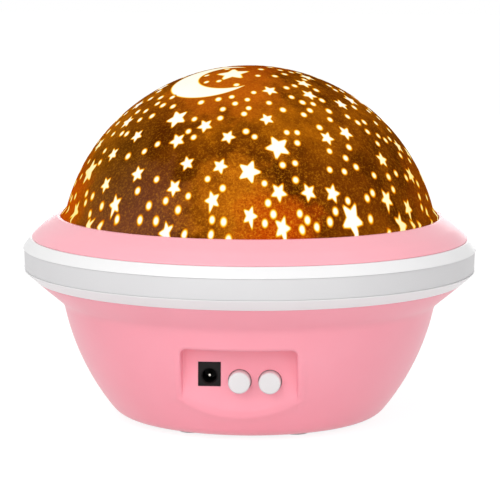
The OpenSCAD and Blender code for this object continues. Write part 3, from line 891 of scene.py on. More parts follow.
@dataclass
class LowerHousing:
    """The pink bowl with its control recess, battery bay and screw posts."""

    finishes: Finishes
    base_z: float = 1.0
    crease_r: float = 61.8
    crease_z: float = 38.6
    crease_round: float = 4.5
    curve_r: float = 80.0
    lean: float = 11.0
    fillet: float = 8.0
    half_w: float = 18.25
    top_z: float = 31.7
    corner_r: float = 1.8
    outer_round: float = 1.1
    inner_round: float = 0.8
    round_share: tuple[float, float] = (0.62, 0.3)
    join_soft: float = 0.36
    bead: float = 0.4
    flat_radii: tuple[float, ...] = (0.0, 12.0, 24.0, 32.0, 37.0)
    near_x: float = 16.6
    near_z: float = 29.4
    sliver: float = 0.03
    past: tuple[float, float, int] = (0.15, 2.6, 12)
    outer_xs: tuple[float, ...] = (21.4, 21.9, 22.5, 23.2, 24.2, 26.0)
    straight_r: float = 50.0
    back_steps: int = 196
    side_steps: int = 16
    bay: tuple[float, float, float] = (25.75, 22.05, 14.1)
    bay_wall: float = 1.6
    tab_x: float = 12.875
    tab_half_w: float = 4.6
    tab_z: tuple[float, float] = (3.0, 5.6)
    tab_reach: float = 2.2
    thumb_r: float = 4.0
    thumb_z: float = 2.0
    foot_seat: tuple[float, float, float] = (4.5, 0, 1.8)
    screw_well: tuple[float, float, float] = (3.05, 1, 20)
    screw_hole: tuple[float, float, float] = (SCREW_R, 19, 27)
    board_post: tuple[float, float] = (16.6, -41.7)
    board_post_r: float = 3.0
    board_z: float = 15.1
    button_hole_r: float = 3.75
    skin_from_z: float = 4.0
    fade: float = 4.0
    swell_at: float = 1.8
    swell_w: float = 1.1

    def curve_centre(self) -> tuple[float, float]:
        """Returns the radius and height of the middle of the side's arc."""
        lean = math.radians(self.lean)
        return self.crease_r - self.curve_r * math.cos(lean), self.crease_z + self.curve_r * math.sin(lean)

    def side(self, inset: float, top_angle: float, steps: int) -> Profile:
        """Sets out the bowl's bottom and side, drawn in by inset.

        Args:
            inset: Distance inside the outer skin.
            top_angle: Angle at which the side ends, in degrees.
            steps: Segments in the side's arc.

        Returns:
            Points from the axis up the side.
        """
        cx, cz = self.curve_centre()
        fz = self.base_z + self.fillet
        fx = cx + math.sqrt((self.curve_r - self.fillet) ** 2 - (cz - fz) ** 2)
        fa = math.degrees(math.atan2(fz - cz, fx - cx))
        flat = [(r, self.base_z + inset) for r in self.flat_radii]
        return (flat + arc(fx, fz, self.fillet - inset, -90, fa, 10)
                + arc(cx, cz, self.curve_r - inset, fa + 0.4, top_angle, steps))

    def depth(self, x: float, z: float, r: float) -> float:
        """Works out how far the recess draws the skin in from the bowl's side.

        Args:
            x: Distance from the middle of the recess.
            z: Height over the floor.
            r: Radius of the bowl at that height.

        Returns:
            The distance along Y, in millimetres. It is below zero on the faint swelling round it.
        """
        gap = math.sqrt(max(r * r - x * x, 0.0)) - PANEL_Y
        full = 0.5 * (gap + math.sqrt(gap * gap + self.join_soft))
        dx, dz = abs(x) - self.half_w + self.corner_r, z - self.top_z + self.corner_r
        outside = math.hypot(max(dx, 0.0), max(dz, 0.0)) + min(max(dx, dz), 0.0) - self.corner_r
        inside = -outside
        away = max(outside, -gap * 1.3)
        low = max(0.0, min(1.0, (self.top_z - 1.0 - z) / self.fade))
        swell = self.bead * low * math.exp(-((away - self.swell_at) / self.swell_w) ** 2)
        ro = min(self.outer_round, full * self.round_share[0])
        ri = min(self.inner_round, full * self.round_share[1])
        if inside <= -ro:
            return -swell
        if inside < 0.0:
            return ro - math.sqrt(max(ro * ro - (inside + ro) ** 2, 0.0)) - swell
        if inside < ri:
            return full - ri + math.sqrt(max(ri * ri - (ri - inside) ** 2, 0.0)) - swell
        return full - swell

    def crossing(self, start: float, edge: float, steps: int) -> list[float]:
        """Places the skin's points close together across an edge of the recess.

        Args:
            start: The first of them, inside the recess.
            edge: The recess's half width or its top.
            steps: How many lie inside.

        Returns:
            Rising places that leave out the sharp edge itself.
        """
        first, last, count = self.past
        inside = np.linspace(start, edge - self.sliver, steps)
        return [*inside, edge + self.sliver, *np.linspace(edge + first, edge + last, count)]

    def columns(self) -> list[float]:
        """Places the skin's points across the front, closest by the recess's sides.

        Returns:
            Distances from the middle, from left to right.
        """
        across = [*np.arange(0, self.near_x, 0.9), *self.crossing(self.near_x, self.half_w, 14)]
        half = [*np.round(across, 4), *self.outer_xs]
        return [-x for x in half[:0:-1]] + half

    def rows(self) -> Profile:
        """Places the skin's rings, closest by the recess's upper edge.

        Returns:
            Each ring's radius and height, from the axis up the side and over the top to the axis.
        """
        cx, cz = self.curve_centre()
        plain = self.side(0.0, -self.lean - 1.2, self.side_steps)
        foot, side = plain[:-self.side_steps - 1], plain[-self.side_steps - 1:]
        heights = [*np.arange(side[0][1], self.near_z, 0.45), *self.crossing(self.near_z, self.top_z, 18)]
        heights += [*np.arange(self.top_z + 3.0, side[-1][1], 0.8)]
        rows = foot + [(cx + math.sqrt(self.curve_r ** 2 - (cz - z) ** 2), z) for z in heights]
        bend = [(*rows[-1], 0.0), (self.crease_r, self.crease_z, self.crease_round), (*RIM_LOW, 0.0)]
        crease = soften(bend, 8)[1:-1]
        lip = soften([(*crease[-1], 0.0), (*RIM_LOW, 0.25), (0.0, RIM_LOW[1], 0.0)], 3)[1:-1]
        return rows + crease + lip + [(0.0, RIM_LOW[1])]

    def skin(self) -> bpy.types.Object:
        """Builds the outer form, closed over the top, with the recess drawn in.

        Returns:
            The form, still solid.
        """
        xs, back = self.columns(), self.back_steps
        count = len(xs) + back - 1
        verts: list[tuple[float, float, float]] = []
        rings: list[list[int]] = []
        for r, z in self.rows():
            if r < 1e-6:
                rings.append([len(verts)] * count)
                verts.append((0.0, 0.0, z))
                continue
            angles = [math.asin(x / max(r, self.straight_r)) for x in xs]
            tail = angles[-1]
            angles += [tail + (2 * math.pi - 2 * tail) * k / back for k in range(1, back)]
            rings.append(list(range(len(verts), len(verts) + count)))
            for k, a in enumerate(angles):
                x, y = r * math.sin(a), -r * math.cos(a)
                if k < len(xs) and self.skin_from_z < z < self.top_z + 2.7 and r > self.straight_r - 4.0:
                    y += self.depth(x, z, r)
                verts.append((x, y, z))
        return mesh_object("lower_shell", verts, stitch(rings, closed=False), self.finishes["pink"])

    def room(self) -> bpy.types.Object:
        """Builds the space inside the bowl, less its walls, posts and battery bay.

        Returns:
            The tool that hollows the bowl.
        """
        flange = math.atan2(RIM_LOW[1] - self.crease_z, RIM_LOW[0] - self.crease_r)
        lean = math.radians(self.lean)
        run = WALL * (1 - math.sin(lean + flange)) / math.cos(lean + flange)
        top = -self.lean + math.degrees(math.asin(run / (self.curve_r - WALL)))
        mouth, over = RIM_LOW[0] - WALL / math.sin(flange), RIM_LOW[1] + 1
        outline = self.side(WALL, top, 24) + [(mouth, RIM_LOW[1]), (mouth, over), (0.0, over)]
        room = revolve("room", outline, blank(), 192)
        bx, by, bz = (size + self.bay_wall for size in self.bay)
        machine(room, block((-bx, -by, 0), (bx, by, bz)))
        w = self.half_w + WALL
        machine(room, block((-w, -90, 0), (w, -PANEL_Y + WALL, self.top_z + WALL)))
        for x, y in POST_SPOTS:
            machine(room, rod(x, y, POST_R, 0, POST_Z))
        x, y = self.board_post
        for side in (-1, 1):
            machine(room, rod(side * x, y, self.board_post_r, 0, self.board_z))
        return room

    def build(self) -> None:
        """Hollows and drills the bowl, and fits it."""
        bowl = self.skin()
        machine(bowl, self.room())
        bx, by, bz = self.bay
        machine(bowl, block((-bx, -by, 0), (bx, by, bz)))
        low, high = self.tab_z
        for x in (-self.tab_x, self.tab_x):
            slot = block((x - self.tab_half_w, 0, low), (x + self.tab_half_w, by + self.tab_reach, high))
            machine(bowl, slot)
        machine(bowl, rod(0, -by, self.thumb_r, 0, self.thumb_z))
        for x, y in POST_SPOTS:
            for r, z0, z1 in (self.foot_seat, self.screw_well, self.screw_hole):
                machine(bowl, rod(x, y, r, z0, z1))
        for x in (0.0, PITCH):
            hole = rod(0, 0, self.button_hole_r, -8, 8)
            lay_along_y(hole, x, -PANEL_Y + 1, BUTTON_Z)
            machine(bowl, hole)
        w, low, high = SOCKET
        corner = (-PITCH + w, -PANEL_Y + 4, BUTTON_Z + high)
        machine(bowl, block((-PITCH - w, -PANEL_Y - 2, BUTTON_Z + low), corner))
        fit(bowl, "lower_bowl", "base", 38.0)


@dataclass
class Collar:
    """The pink collar with the deck, the turntable's boss and the upper screw posts."""

    finishes: Finishes
    deck_z: float = 57.0
    ledge_r: float = 66.0
    crown: float = 0.35
    hole_r: float = 3.5
    thrust_r: float = 17.0
    thrust_z: float = 1.05
    hub_r: float = 14.0
    cap_z: float = 64.5
    pilot_z: tuple[float, float] = (25.0, 42.0)
    through: tuple[float, float] = (50, 60)
    shaft_x: float = -37.5
    shaft_r: float = 3.0
    motor_hole: tuple[float, float] = (15.0, 1.27)
    led_ring: float = 8.6
    led_pilot_r: float = 1.02

    def build(self) -> None:
        """Builds the collar and fits it."""
        (lip_r, lip_z), (edge_r, edge_z) = LIP, RIM_TOP
        slope = math.atan2(lip_z - edge_z, edge_r - lip_r)
        inner, under, seat = lip_r + WALL, self.deck_z - WALL, self.deck_z + self.thrust_z
        outline = soften([
            (self.hole_r, under, 0), (inner, under, 0.3), (inner, lip_z - WALL / math.cos(slope) - 0.6, 0.5),
            (self.ledge_r, edge_z - 0.2, 0.2), (self.ledge_r, edge_z, 0.0), (edge_r, edge_z, 0.3),
            ((inner + edge_r) / 2, (edge_z + lip_z) / 2 + self.crown, 12.0), (lip_r + 1.2, lip_z, 0.75),
            (lip_r, lip_z, 0.45), (lip_r, self.deck_z, 0.0), (self.thrust_r, self.deck_z, 0.0),
            (self.thrust_r, seat, 0.1), (self.hub_r, seat, 0.0), (self.hub_r, self.cap_z, 0.3),
            (self.hole_r, self.cap_z, 0.2),
        ], 10)
        collar = revolve("collar_shell", outline, self.finishes["collar"], 320)
        for x, y in POST_SPOTS:
            machine(collar, rod(x, y, POST_R, POST_Z, self.deck_z - 1.0), Cut.JOIN)
            machine(collar, rod(x, y, SCREW_R, *self.pilot_z))
        machine(collar, rod(self.shaft_x, 0.0, self.shaft_r, *self.through))
        y, r = self.motor_hole
        for side in (-1, 1):
            machine(collar, rod(self.shaft_x, side * y, r, *self.through))
        for a in (math.radians(30), math.radians(150), math.radians(270)):
            x, y = self.led_ring * math.cos(a), self.led_ring * math.sin(a)
            machine(collar, rod(x, y, self.led_pilot_r, self.cap_z - 5, self.cap_z + 1, 24))
        fit(collar, "upper_collar", "base", 30.0)


@dataclass
class Rim:
    """The white rim that the housings clamp, and the satin band let into it."""

    finishes: Finishes
    top_side_r: float = 75.2
    low_side_r: float = 75.0
    inner_r: float = 66.2
    hollow_r: float = 72.29
    wall: float = 1.6
    land: float = 0.2
    band: tuple[float, float] = (50.1, 56.9)
    groove_r: float = 73.9
    sunk: float = 0.3
    steps: int = 320

    def build(self) -> None:
        """Builds the rim and its band, and fits them."""
        (low_r, low_z), (top_r, top_z), (b0, b1) = RIM_LOW, RIM_TOP, self.band
        rim = revolve("rim_ring", soften([
            (self.inner_r, low_z, 0.2), (low_r, low_z, 0.3), (self.low_side_r, b0 - self.land, 0.5),
            (self.low_side_r, b0, 0.08), (self.groove_r, b0, 0), (self.groove_r, b1, 0),
            (self.top_side_r, b1, 0.08), (self.top_side_r, b1 + self.land, 0.5), (top_r, top_z, 0.35),
            (self.inner_r, top_z, 0.2), (self.inner_r, top_z - self.wall, 0),
            (self.hollow_r, top_z - self.wall, 0.5), (self.hollow_r, low_z + self.wall, 0.5),
            (self.inner_r, low_z + self.wall, 0),
        ], 5), self.finishes["white"], self.steps)
        fit(rim, "white_rim", "base", 30.0)
        back, low, high = self.groove_r + 0.01, b0 + 0.03, b1 - 0.03
        band = revolve("band_ring", soften([
            (back, low, 0), (self.low_side_r - self.sunk, low, 0.25),
            (self.top_side_r - self.sunk, high, 0.25), (back, high, 0),
        ], 5), self.finishes["band"], self.steps)
        fit(band, "rim_band", "base", 30.0)


@dataclass
class Controls:
    """The two push buttons, the power socket and its pin in the recess."""

    finishes: Finishes
    back_y: float = PANEL_Y - WALL
    button_r: float = 3.5
    proud: float = 4.0
    flange_r: float = 4.4
    flange_z: tuple[float, float] = (-1.1, -0.1)
    stem_r: float = 1.5
    stem_z: float = -4.2
    jack_body: tuple[float, float, float] = (4.2, 4.0, 9.0)
    jack_proud: float = 0.2
    jack_rise: float = 1.5
    mouth_r: float = 2.3
    flare_r: float = 2.75
    bore_z: float = -7.5
    edge: float = 0.12
    pin_r: float = 0.65

    def button(self, name: str, body: str, x: float) -> None:
        """Builds one push button and fits it.

        Args:
            name: The piece's name.
            body: Its body, and the node that it replaces.
            x: Its place across the panel.
        """
        tip, end, (low, high) = WALL + self.proud, self.stem_z, self.flange_z
        outline = soften([
            (0.0, end, 0), (self.stem_r, end, 0.2), (self.stem_r, low, 0), (self.flange_r, low, 0.1),
            (self.flange_r, high, 0.1), (self.button_r, high, 0), (self.button_r, tip - 0.12, 0.7),
            (0.0, tip, 0),
        ], 8)
        piece = revolve(name, outline, self.finishes["button"], 96)
        lay_along_y(piece, x, -self.back_y, BUTTON_Z)
        fit(piece, body, body, 40.0)

    def jack(self) -> None:
        """Builds the power socket's body, bores it and fits it."""
        x, z, back = -PITCH, BUTTON_Z, -self.back_y
        (w, low, high), (side, under, deep) = SOCKET, self.jack_body
        piece = block((x - side, back, z - under), (x + side, back + deep, z + high))
        nose = block((x - w, -PANEL_Y - self.jack_proud, z + low), (x + w, back + 1, z + high))
        machine(piece, nose, Cut.JOIN)
        r, flare, end = self.mouth_r, self.flare_r, self.bore_z
        mouth = [(0.0, end), (r, end), (r, 1.75), (flare, 2.2), (flare, 6.0), (0.0, 6.0)]
        bore = revolve("bore", mouth, blank(), 64)
        lay_along_y(bore, x, back, z + self.jack_rise)
        machine(piece, bore)
        piece.name = "jack_body"
        piece.data.materials[0] = self.finishes["black"]
        edge = piece.modifiers.new("edge", "BEVEL")
        edge.width = self.edge * MM
        edge.segments = 2
        edge.limit_method = "ANGLE"
        edge.angle_limit = math.radians(50)
        apply_modifiers(piece)
        fit(piece, "dc_socket", "base", 35.0)

    def pin(self) -> None:
        """Builds the socket's centre pin with its rounded tip, and fits it."""
        r, end = self.pin_r, self.bore_z
        outline = soften([(0.0, end, 0), (r, end, 0), (r, 1.0, 0.55), (0.0, 1.0, 0)], 8)
        piece = revolve("jack_pin", outline, self.finishes["nickel"], 48)
        lay_along_y(piece, -PITCH, -self.back_y, BUTTON_Z + self.jack_rise)
        fit(piece, "dc_pin", "base", 40.0)

    def build(self) -> None:
        """Builds the buttons, the socket and its pin."""
        self.button("light_cap", "light_button", 0.0)
        self.button("rotation_cap", "rotation_button", PITCH)
        self.jack()
        self.pin()


@dataclass
class StarDome:
    """The film dome and its lit windows: dots, stars and a crescent moon."""

    finishes: Finishes
    radius: float = 62.9
    centre_z: float = 54.1
    foot_z: float = 62.1
    foot_r: float = 62.4
    wall: float = 1.0
    flare_z: float = 70.1
    seed: int = 37
    dots: int = 330
    small_stars: int = 84
    large_stars: int = 15
    dot_r: float = 0.88
    small_r: float = 2.3
    large_r: float = 3.7
    dot_room: float = 1.55
    small_room: float = 2.9
    large_room: float = 4.1
    star_gap: float = 2.2
    most_tries: int = 20000
    tip: tuple[float, float] = (0.98, 1.2)
    notch: tuple[float, float] = (0.54, 0.9)
    blunt: float = 4.5
    spins: tuple[float, ...] = (-14.0, 3.0, 17.0)
    drawn: float = 1.28
    drawn_below: float = 24.0
    stretch_from: float = 32.0
    stretch_over: float = 20.0
    stretched: tuple[float, float] = (1.12, 0.5)
    moon_star_at: tuple[float, float] = (-109.4, 76.2)
    moon_star_r: float = 5.2
    moon_at: tuple[float, float] = (-126.5, 72.2)
    moon_r: float = 14.0
    moon_turn: float = 8.0
    bite_r: float = 10.4
    bite_x: float = 5.7
    moon_rows: int = 64
    moon_cells: int = 8
    fringe: tuple[tuple[float, float], ...] = (
        (0.62, 0.0), (0.4, 0.2), (0.18, 0.46), (-0.02, 0.72), (-0.2, 0.9), (-0.36, 1.0))

    def shell(self) -> None:
        """Builds the film shell and fits it."""
        outer = self.half_section(self.radius - 0.04, self.foot_r)
        inner = self.half_section(self.radius - self.wall, self.foot_r - self.wall)
        dome = revolve("star_film", outer + inner[::-1], self.finishes["film"], 256)
        fit(dome, "film_dome", "dome", 40.0)

    def half_section(self, r: float, foot: float) -> Profile:
        """Sets out one face of the shell, from its foot up to the top.

        Args:
            r: The face's radius on the dome.
            foot: Its radius at the foot.

        Returns:
            The face's points.
        """
        a0 = math.degrees(math.asin((self.flare_z - self.centre_z) / r))
        neck = (r * math.cos(math.radians(a0)), self.flare_z)
        bend = soften([(foot, self.foot_z, 0), (foot, LIP[1] + 0.5, 0.6), (*neck, 0)], 6)[1:-1]
        return [(foot, self.foot_z)] + bend + arc(0, self.centre_z, r, a0, 90, 90)

    def spot(self, azimuth: float, elevation: float) -> Vector:
        """Returns the unit direction of a place on the dome, its angles in degrees."""
        a, e = math.radians(azimuth), math.radians(elevation)
        return Vector((math.cos(e) * math.cos(a), math.cos(e) * math.sin(a), math.sin(e)))

    def stretch(self, spot: Vector) -> float:
        """Returns how much the formed film is drawn out down its side at a place."""
        low = (self.stretch_from - math.degrees(math.asin(spot.z))) / self.stretch_over
        return self.stretched[0] + self.stretched[1] * max(0.0, min(1.0, low)) ** 1.3

    def moon_frame(self) -> tuple[Vector, Vector, Vector]:
        """Sets up the moon's own axes.

        Returns:
            Its outward, right and up directions.
        """
        out_way = self.spot(*self.moon_at)
        turn = math.radians(self.moon_turn)
        right = Vector((math.cos(turn), 0.0, math.sin(turn)))
        right = (right - out_way * right.dot(out_way)).normalized()
        return out_way, right, out_way.cross(right)

    def on_moon(self, spot: Vector, room: float) -> bool:
        """Tells whether a window would touch the crescent.

        Args:
            spot: The window's direction.
            room: The radius that it needs.

        Returns:
            Whether it would.
        """
        out_way, right, up = self.moon_frame()
        x, y = spot.dot(right) * self.radius, spot.dot(up) * self.radius
        near = spot.dot(out_way) > 0 and math.hypot(x, y) < self.moon_r + room
        return near and math.hypot(x - self.bite_x, y) > self.bite_r - room

    def layout(self) -> list[tuple[Vector, int, float]]:
        """Scatters the windows over the dome with gaps between them.

        Returns:
            For each window its direction, the number of its pattern, and its size.
        """
        rng = np.random.default_rng(self.seed)
        star = self.spot(*self.moon_star_at)
        placed: list[tuple[Vector, float, bool]] = [(star, self.moon_star_r + 0.2, True)]
        out: list[tuple[Vector, int, float]] = [(star, 2, self.moon_star_r)]
        lowest = (LIP[1] - 0.6 - self.centre_z) / self.radius
        plan = ((2, self.large_stars, self.large_r, self.large_room, 1.3),
                (1, self.small_stars, self.small_r, self.small_room, 1.3),
                (0, self.dots, self.dot_r, self.dot_room, 0.8))
        for kind, count, size, room, moon_share in plan:
            made, tries = 0, 0
            while made < count and tries < self.most_tries:
                tries += 1
                z, a = rng.uniform(lowest, 1.0), rng.uniform(0, 2 * math.pi)
                flat = math.sqrt(1 - z * z)
                spot = Vector((flat * math.cos(a), flat * math.sin(a), z))
                if self.on_moon(spot, room * moon_share):
                    continue
                if any(spot.angle(p) * self.radius < room + q + (self.star_gap if kind and starry else 0.0)
                       for p, q, starry in placed):
                    continue
                placed.append((spot, room, kind > 0))
                out.append((spot, kind, size * rng.uniform(0.92, 1.08)))
                made += 1
        return [(d, self.pattern(kind, d, k), size) for k, (d, kind, size) in enumerate(out)]

    def pattern(self, kind: int, spot: Vector, k: int) -> int:
        """Picks a pattern for a window.

        Args:
            kind: 0 for a dot, 1 for a small star, 2 for a large star.
            spot: Its direction; the stars low on the dome have a drawn-out tip.
            k: Its number, which picks the star's spin.

        Returns:
            The pattern's number, in the order of outlines.
        """
        if kind == 0:
            return 0
        spins = len(self.spins)
        low = spot.z < math.sin(math.radians(self.drawn_below))
        return 1 + ((kind - 1) * 2 + low) * spins + k % spins

    def outlines(self) -> list[Callable[[float], Profile]]:
        """Lists every pattern: the dot, then small and large stars, plain and drawn out, in each spin.

        Returns:
            Each pattern's outline, as a function of its growth.
        """
        found: list[Callable[[float], Profile]] = [self.dot_outline]
        for size in (self.small_r, self.large_r):
            for drawn in (1.0, self.drawn):
                for spin in self.spins:
                    found.append(lambda g, z=size, d=drawn, t=spin: self.star_outline(g, z, d, t))
        return found

    def star_outline(self, grow: float, size: float, drawn: float, spin: float) -> Profile:
        """Draws a star with one tip down the dome and every tip a little blunt.

        Args:
            grow: Growth outwards, in millimetres.
            size: Radius of the star's tips, in millimetres.
            drawn: How much its lowest tip is drawn out.
            spin: Its turn, in degrees.

        Returns:
            The outline, for a star of unit size.
        """
        points = []
        for k in range(10):
            tip = k % 2 == 0
            share, rate = self.tip if tip else self.notch
            r = share * size + grow * rate
            for blunt in (-self.blunt, self.blunt) if tip else (0.0,):
                a = math.radians(-90 + 36 * k + spin + blunt)
                y = r * math.sin(a)
                points.append((r * math.cos(a) / size, (y * drawn if k == 0 else y) / size))
        return points

    def dot_outline(self, grow: float) -> Profile:
        """Returns a round dot of unit size, grown outwards."""
        return ring(0.0, 0.0, 1.0 + grow / self.dot_r, 14)

    def stencil(self, number: int, outline: Callable[[float], Profile]) -> bpy.types.Object:
        """Makes one pattern of nested outlines.

        Args:
            number: The pattern's number, which sorts it in the collection.
            outline: The pattern's outline, as a function of its growth.

        Returns:
            The stencil, of unit size, lying on the XY plane.
        """
        shapes = [(outline(grow), core) for grow, core in self.fringe]
        shapes += [([(x * k, y * k) for x, y in shapes[-1][0]], 1.0) for k in (0.66, 0.33)]
        verts = [(x, y, 0.0) for shape, _ in shapes for x, y in shape] + [(0.0, 0.0, 0.0)]
        n = len(shapes[0][0])
        cores = [core for _, core in shapes for _ in range(n)] + [1.0]
        rings = [list(range(i * n, i * n + n)) for i in range(len(shapes))] + [[len(shapes) * n] * n]
        mesh = bpy.data.meshes.new(f"window_{number:02d}")
        mesh.from_pydata(verts, [], stitch(rings, closed=False))
        mesh.attributes.new("window_core", "FLOAT", "POINT").data.foreach_set("value", cores)
        return bpy.data.objects.new(mesh.name, mesh)

    def scatter(self) -> Sower:
        """Builds the node group that sets a numbered stencil on each point, square to the dome.

        Returns:
            The group, with its stencils, unit and finish as named inputs.
        """
        group = Sower("scatter_windows", {"Stencils": "NodeSocketCollection", "Unit": MM})
        shelf = group.add("GeometryNodeCollectionInfo", Separate_Children=True)
        outward, uphill = (group.add("FunctionNodeAlignRotationToVector") for _ in range(2))
        outward.axis, uphill.axis, uphill.pivot_axis = "Z", "Y", "Z"
        size = group.add("ShaderNodeVectorMath")
        size.operation = "SCALE"
        group.forms.inputs["Pick Instance"].default_value = True
        group.named("pattern", "INT", group.forms, "Instance Index")
        group.named("outward", "FLOAT_VECTOR", outward, "Vector")
        group.named("uphill", "FLOAT_VECTOR", uphill, "Vector")
        group.named("spread", "FLOAT_VECTOR", size, 0)
        group.link(group.entry, "Stencils", shelf, "Collection")
        group.link(shelf, 0, group.forms, "Instance")
        group.link(outward, "Rotation", uphill, "Rotation")
        group.link(uphill, "Rotation", group.forms, "Rotation")
        group.link(group.entry, "Unit", size, "Scale")
        group.link(size, 0, group.forms, "Scale")
        return group

    def divide_foot(self, obj: bpy.types.Object) -> None:
        """Divides the windows by the flared foot, so that they can follow its bend.

        Args:
            obj: The windows.
        """
        low, high = (LIP[1] - 2.0) * MM, (self.flare_z + 1.5) * MM
        form = bmesh.new()
        form.from_mesh(obj.data)
        for _ in range(2):
            near = {f for f in form.faces
                    if min(v.co.z for v in f.verts) < high and max(v.co.z for v in f.verts) > low}
            edges = [e for e in form.edges
                     if e.calc_length() > 0.4 * MM and not near.isdisjoint(e.link_faces)]
            bmesh.ops.subdivide_edges(form, edges=edges, cuts=1, use_grid_fill=True)
            bmesh.ops.triangulate(form, faces=[f for f in form.faces if len(f.verts) > 4])
        form.to_mesh(obj.data)
        form.free()

    def lay_on_film(self, obj: bpy.types.Object) -> None:
        """Lays the points on the dome's sphere, and on its flared foot below that.

        Args:
            obj: The windows.
        """
        points = np.empty(len(obj.data.vertices) * 3, dtype=np.float32)
        obj.data.vertices.foreach_get("co", points)
        points = points.reshape(-1, 3)
        centre = np.array([0.0, 0.0, self.centre_z * MM])
        away = points - centre
        points = centre + away * (self.radius * MM / np.linalg.norm(away, axis=1))[:, None]
        neck = math.sqrt(self.radius ** 2 - (self.flare_z - self.centre_z) ** 2)
        foot = np.interp(points[:, 2] / MM, [LIP[1] + 0.5, self.flare_z], [self.foot_r + 0.12, neck + 0.04])
        flat = np.hypot(points[:, 0], points[:, 1])
        scale = np.where(points[:, 2] < self.flare_z * MM, foot * MM / flat, 1.0)
        points[:, :2] *= scale[:, None]
        obj.data.vertices.foreach_set("co", points.astype(np.float32).ravel())

    def windows(self) -> None:
        """Sets a stencil on every spot and lays them all on the film."""
        spots = self.layout()
        shelf = bpy.data.collections.new("stencils")
        for number, outline in enumerate(self.outlines()):
            shelf.objects.link(self.stencil(number, outline))
        centre, up = Vector((0, 0, self.centre_z)), Vector((0, 0, 1))
        layers = {
            "outward": [d for d, _, _ in spots],
            "uphill": [(up - d * d.z).normalized() for d, _, _ in spots],
            "spread": [Vector((s, s * self.stretch(d), s)) for d, _, s in spots],
            "pattern": [k for _, k, _ in spots],
        }
        values = {"Stencils": shelf, "Finish": self.finishes["window"]}
        points = [centre + d * self.radius for d, _, _ in spots]
        obj = self.scatter().sow("star_windows", points, layers, values)
        self.divide_foot(obj)
        self.lay_on_film(obj)
        for stencil in list(shelf.objects):
            bpy.data.objects.remove(stencil)
        bpy.data.collections.remove(shelf)
        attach(obj, "dome")
        LOG.info("star_windows: %d windows, %d faces", len(spots), len(obj.data.polygons))

    def moon_row(self, back: Vector, front: Vector) -> Profile:
        """Places one row of the moon's points, from its back to its bite.

        Args:
            back: Where the row starts, on the moon's outer circle.
            front: Where it ends, on the bite's circle.

        Returns:
            For each point its distance from the back and its core value, fringes included.
        """
        width = (front - back).length
        edge = [(-g if g >= 0 else min(-g, width / 2), c) for g, c in self.fringe]
        inset = edge[-1][0]
        cells = self.moon_cells
        middle = [(inset + (width - 2 * inset) * k / cells, 1.0) for k in range(1, cells)]
        return edge + middle + [(width - d, c) for d, c in edge[::-1]]

    def moon(self) -> None:
        """Builds the crescent moon's window as rows that run from its back to its bite."""
        outer, bite, shift, steps = self.moon_r, self.bite_r, self.bite_x, self.moon_rows
        cross = (outer * outer - bite * bite + shift * shift) / (2 * shift)
        a1, a2 = math.acos(cross / outer), math.acos((cross - shift) / bite)
        out_way, right, up = self.moon_frame()
        centre = Vector((0, 0, self.centre_z))
        verts: list[tuple[float, float, float]] = []
        cores: list[float] = []
        for i in range(steps + 1):
            t = i / steps
            b, f = a1 + (2 * math.pi - 2 * a1) * t, a2 + (2 * math.pi - 2 * a2) * t
            back = Vector((outer * math.cos(b), outer * math.sin(b)))
            front = Vector((shift + bite * math.cos(f), bite * math.sin(f)))
            way = (front - back).normalized() if (front - back).length > 0.05 else Vector((-1.0, 0.0))
            for d, core in self.moon_row(back, front):
                x, y = back + way * d
                rise = math.sqrt(self.radius ** 2 - x * x - y * y)
                verts.append(tuple((centre + right * x + up * y + out_way * rise) * MM))
                cores.append(core)
        n = len(verts) // (steps + 1)
        corners = [i * n + k for i in range(steps) for k in range(n - 1)]
        mesh = bpy.data.meshes.new("moon_window")
        mesh.from_pydata(verts, [], [[c, c + 1, c + n + 1, c + n] for c in corners])
        mesh.attributes.new("window_core", "FLOAT", "POINT").data.foreach_set("value", cores)
        mesh.materials.append(self.finishes["window"])
        if mesh.polygons[0].normal.dot(out_way) < 0:
            mesh.flip_normals()
        obj = show("moon_window", mesh)
        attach(obj, "dome")
        LOG.info("moon_window: %d faces", len(mesh.polygons))

    def build(self) -> None:
        """Builds the shell and every window."""
        self.shell()
        self.windows()
        self.moon()


@dataclass(frozen=True)
class Bay:
    """How the four cells lie in the battery bay: side by side, every second one turned about."""

    pitch: float = 11.0
    axis_z: float = 8.55

    def places(self, start: float) -> list[tuple[float, Vector]]:
        """Places what stands at the cells' minus ends.

        Args:
            start: Its distance from the middle of the bay.

        Returns:
            For each cell 1.0 or -1.0, as its cap points along +X or -X, and the place.
        """
        ways = [1.0 if i % 2 == 0 else -1.0 for i in range(4)]
        return [(w, Vector((-w * start, (i - 1.5) * self.pitch, self.axis_z))) for i, w in enumerate(ways)]


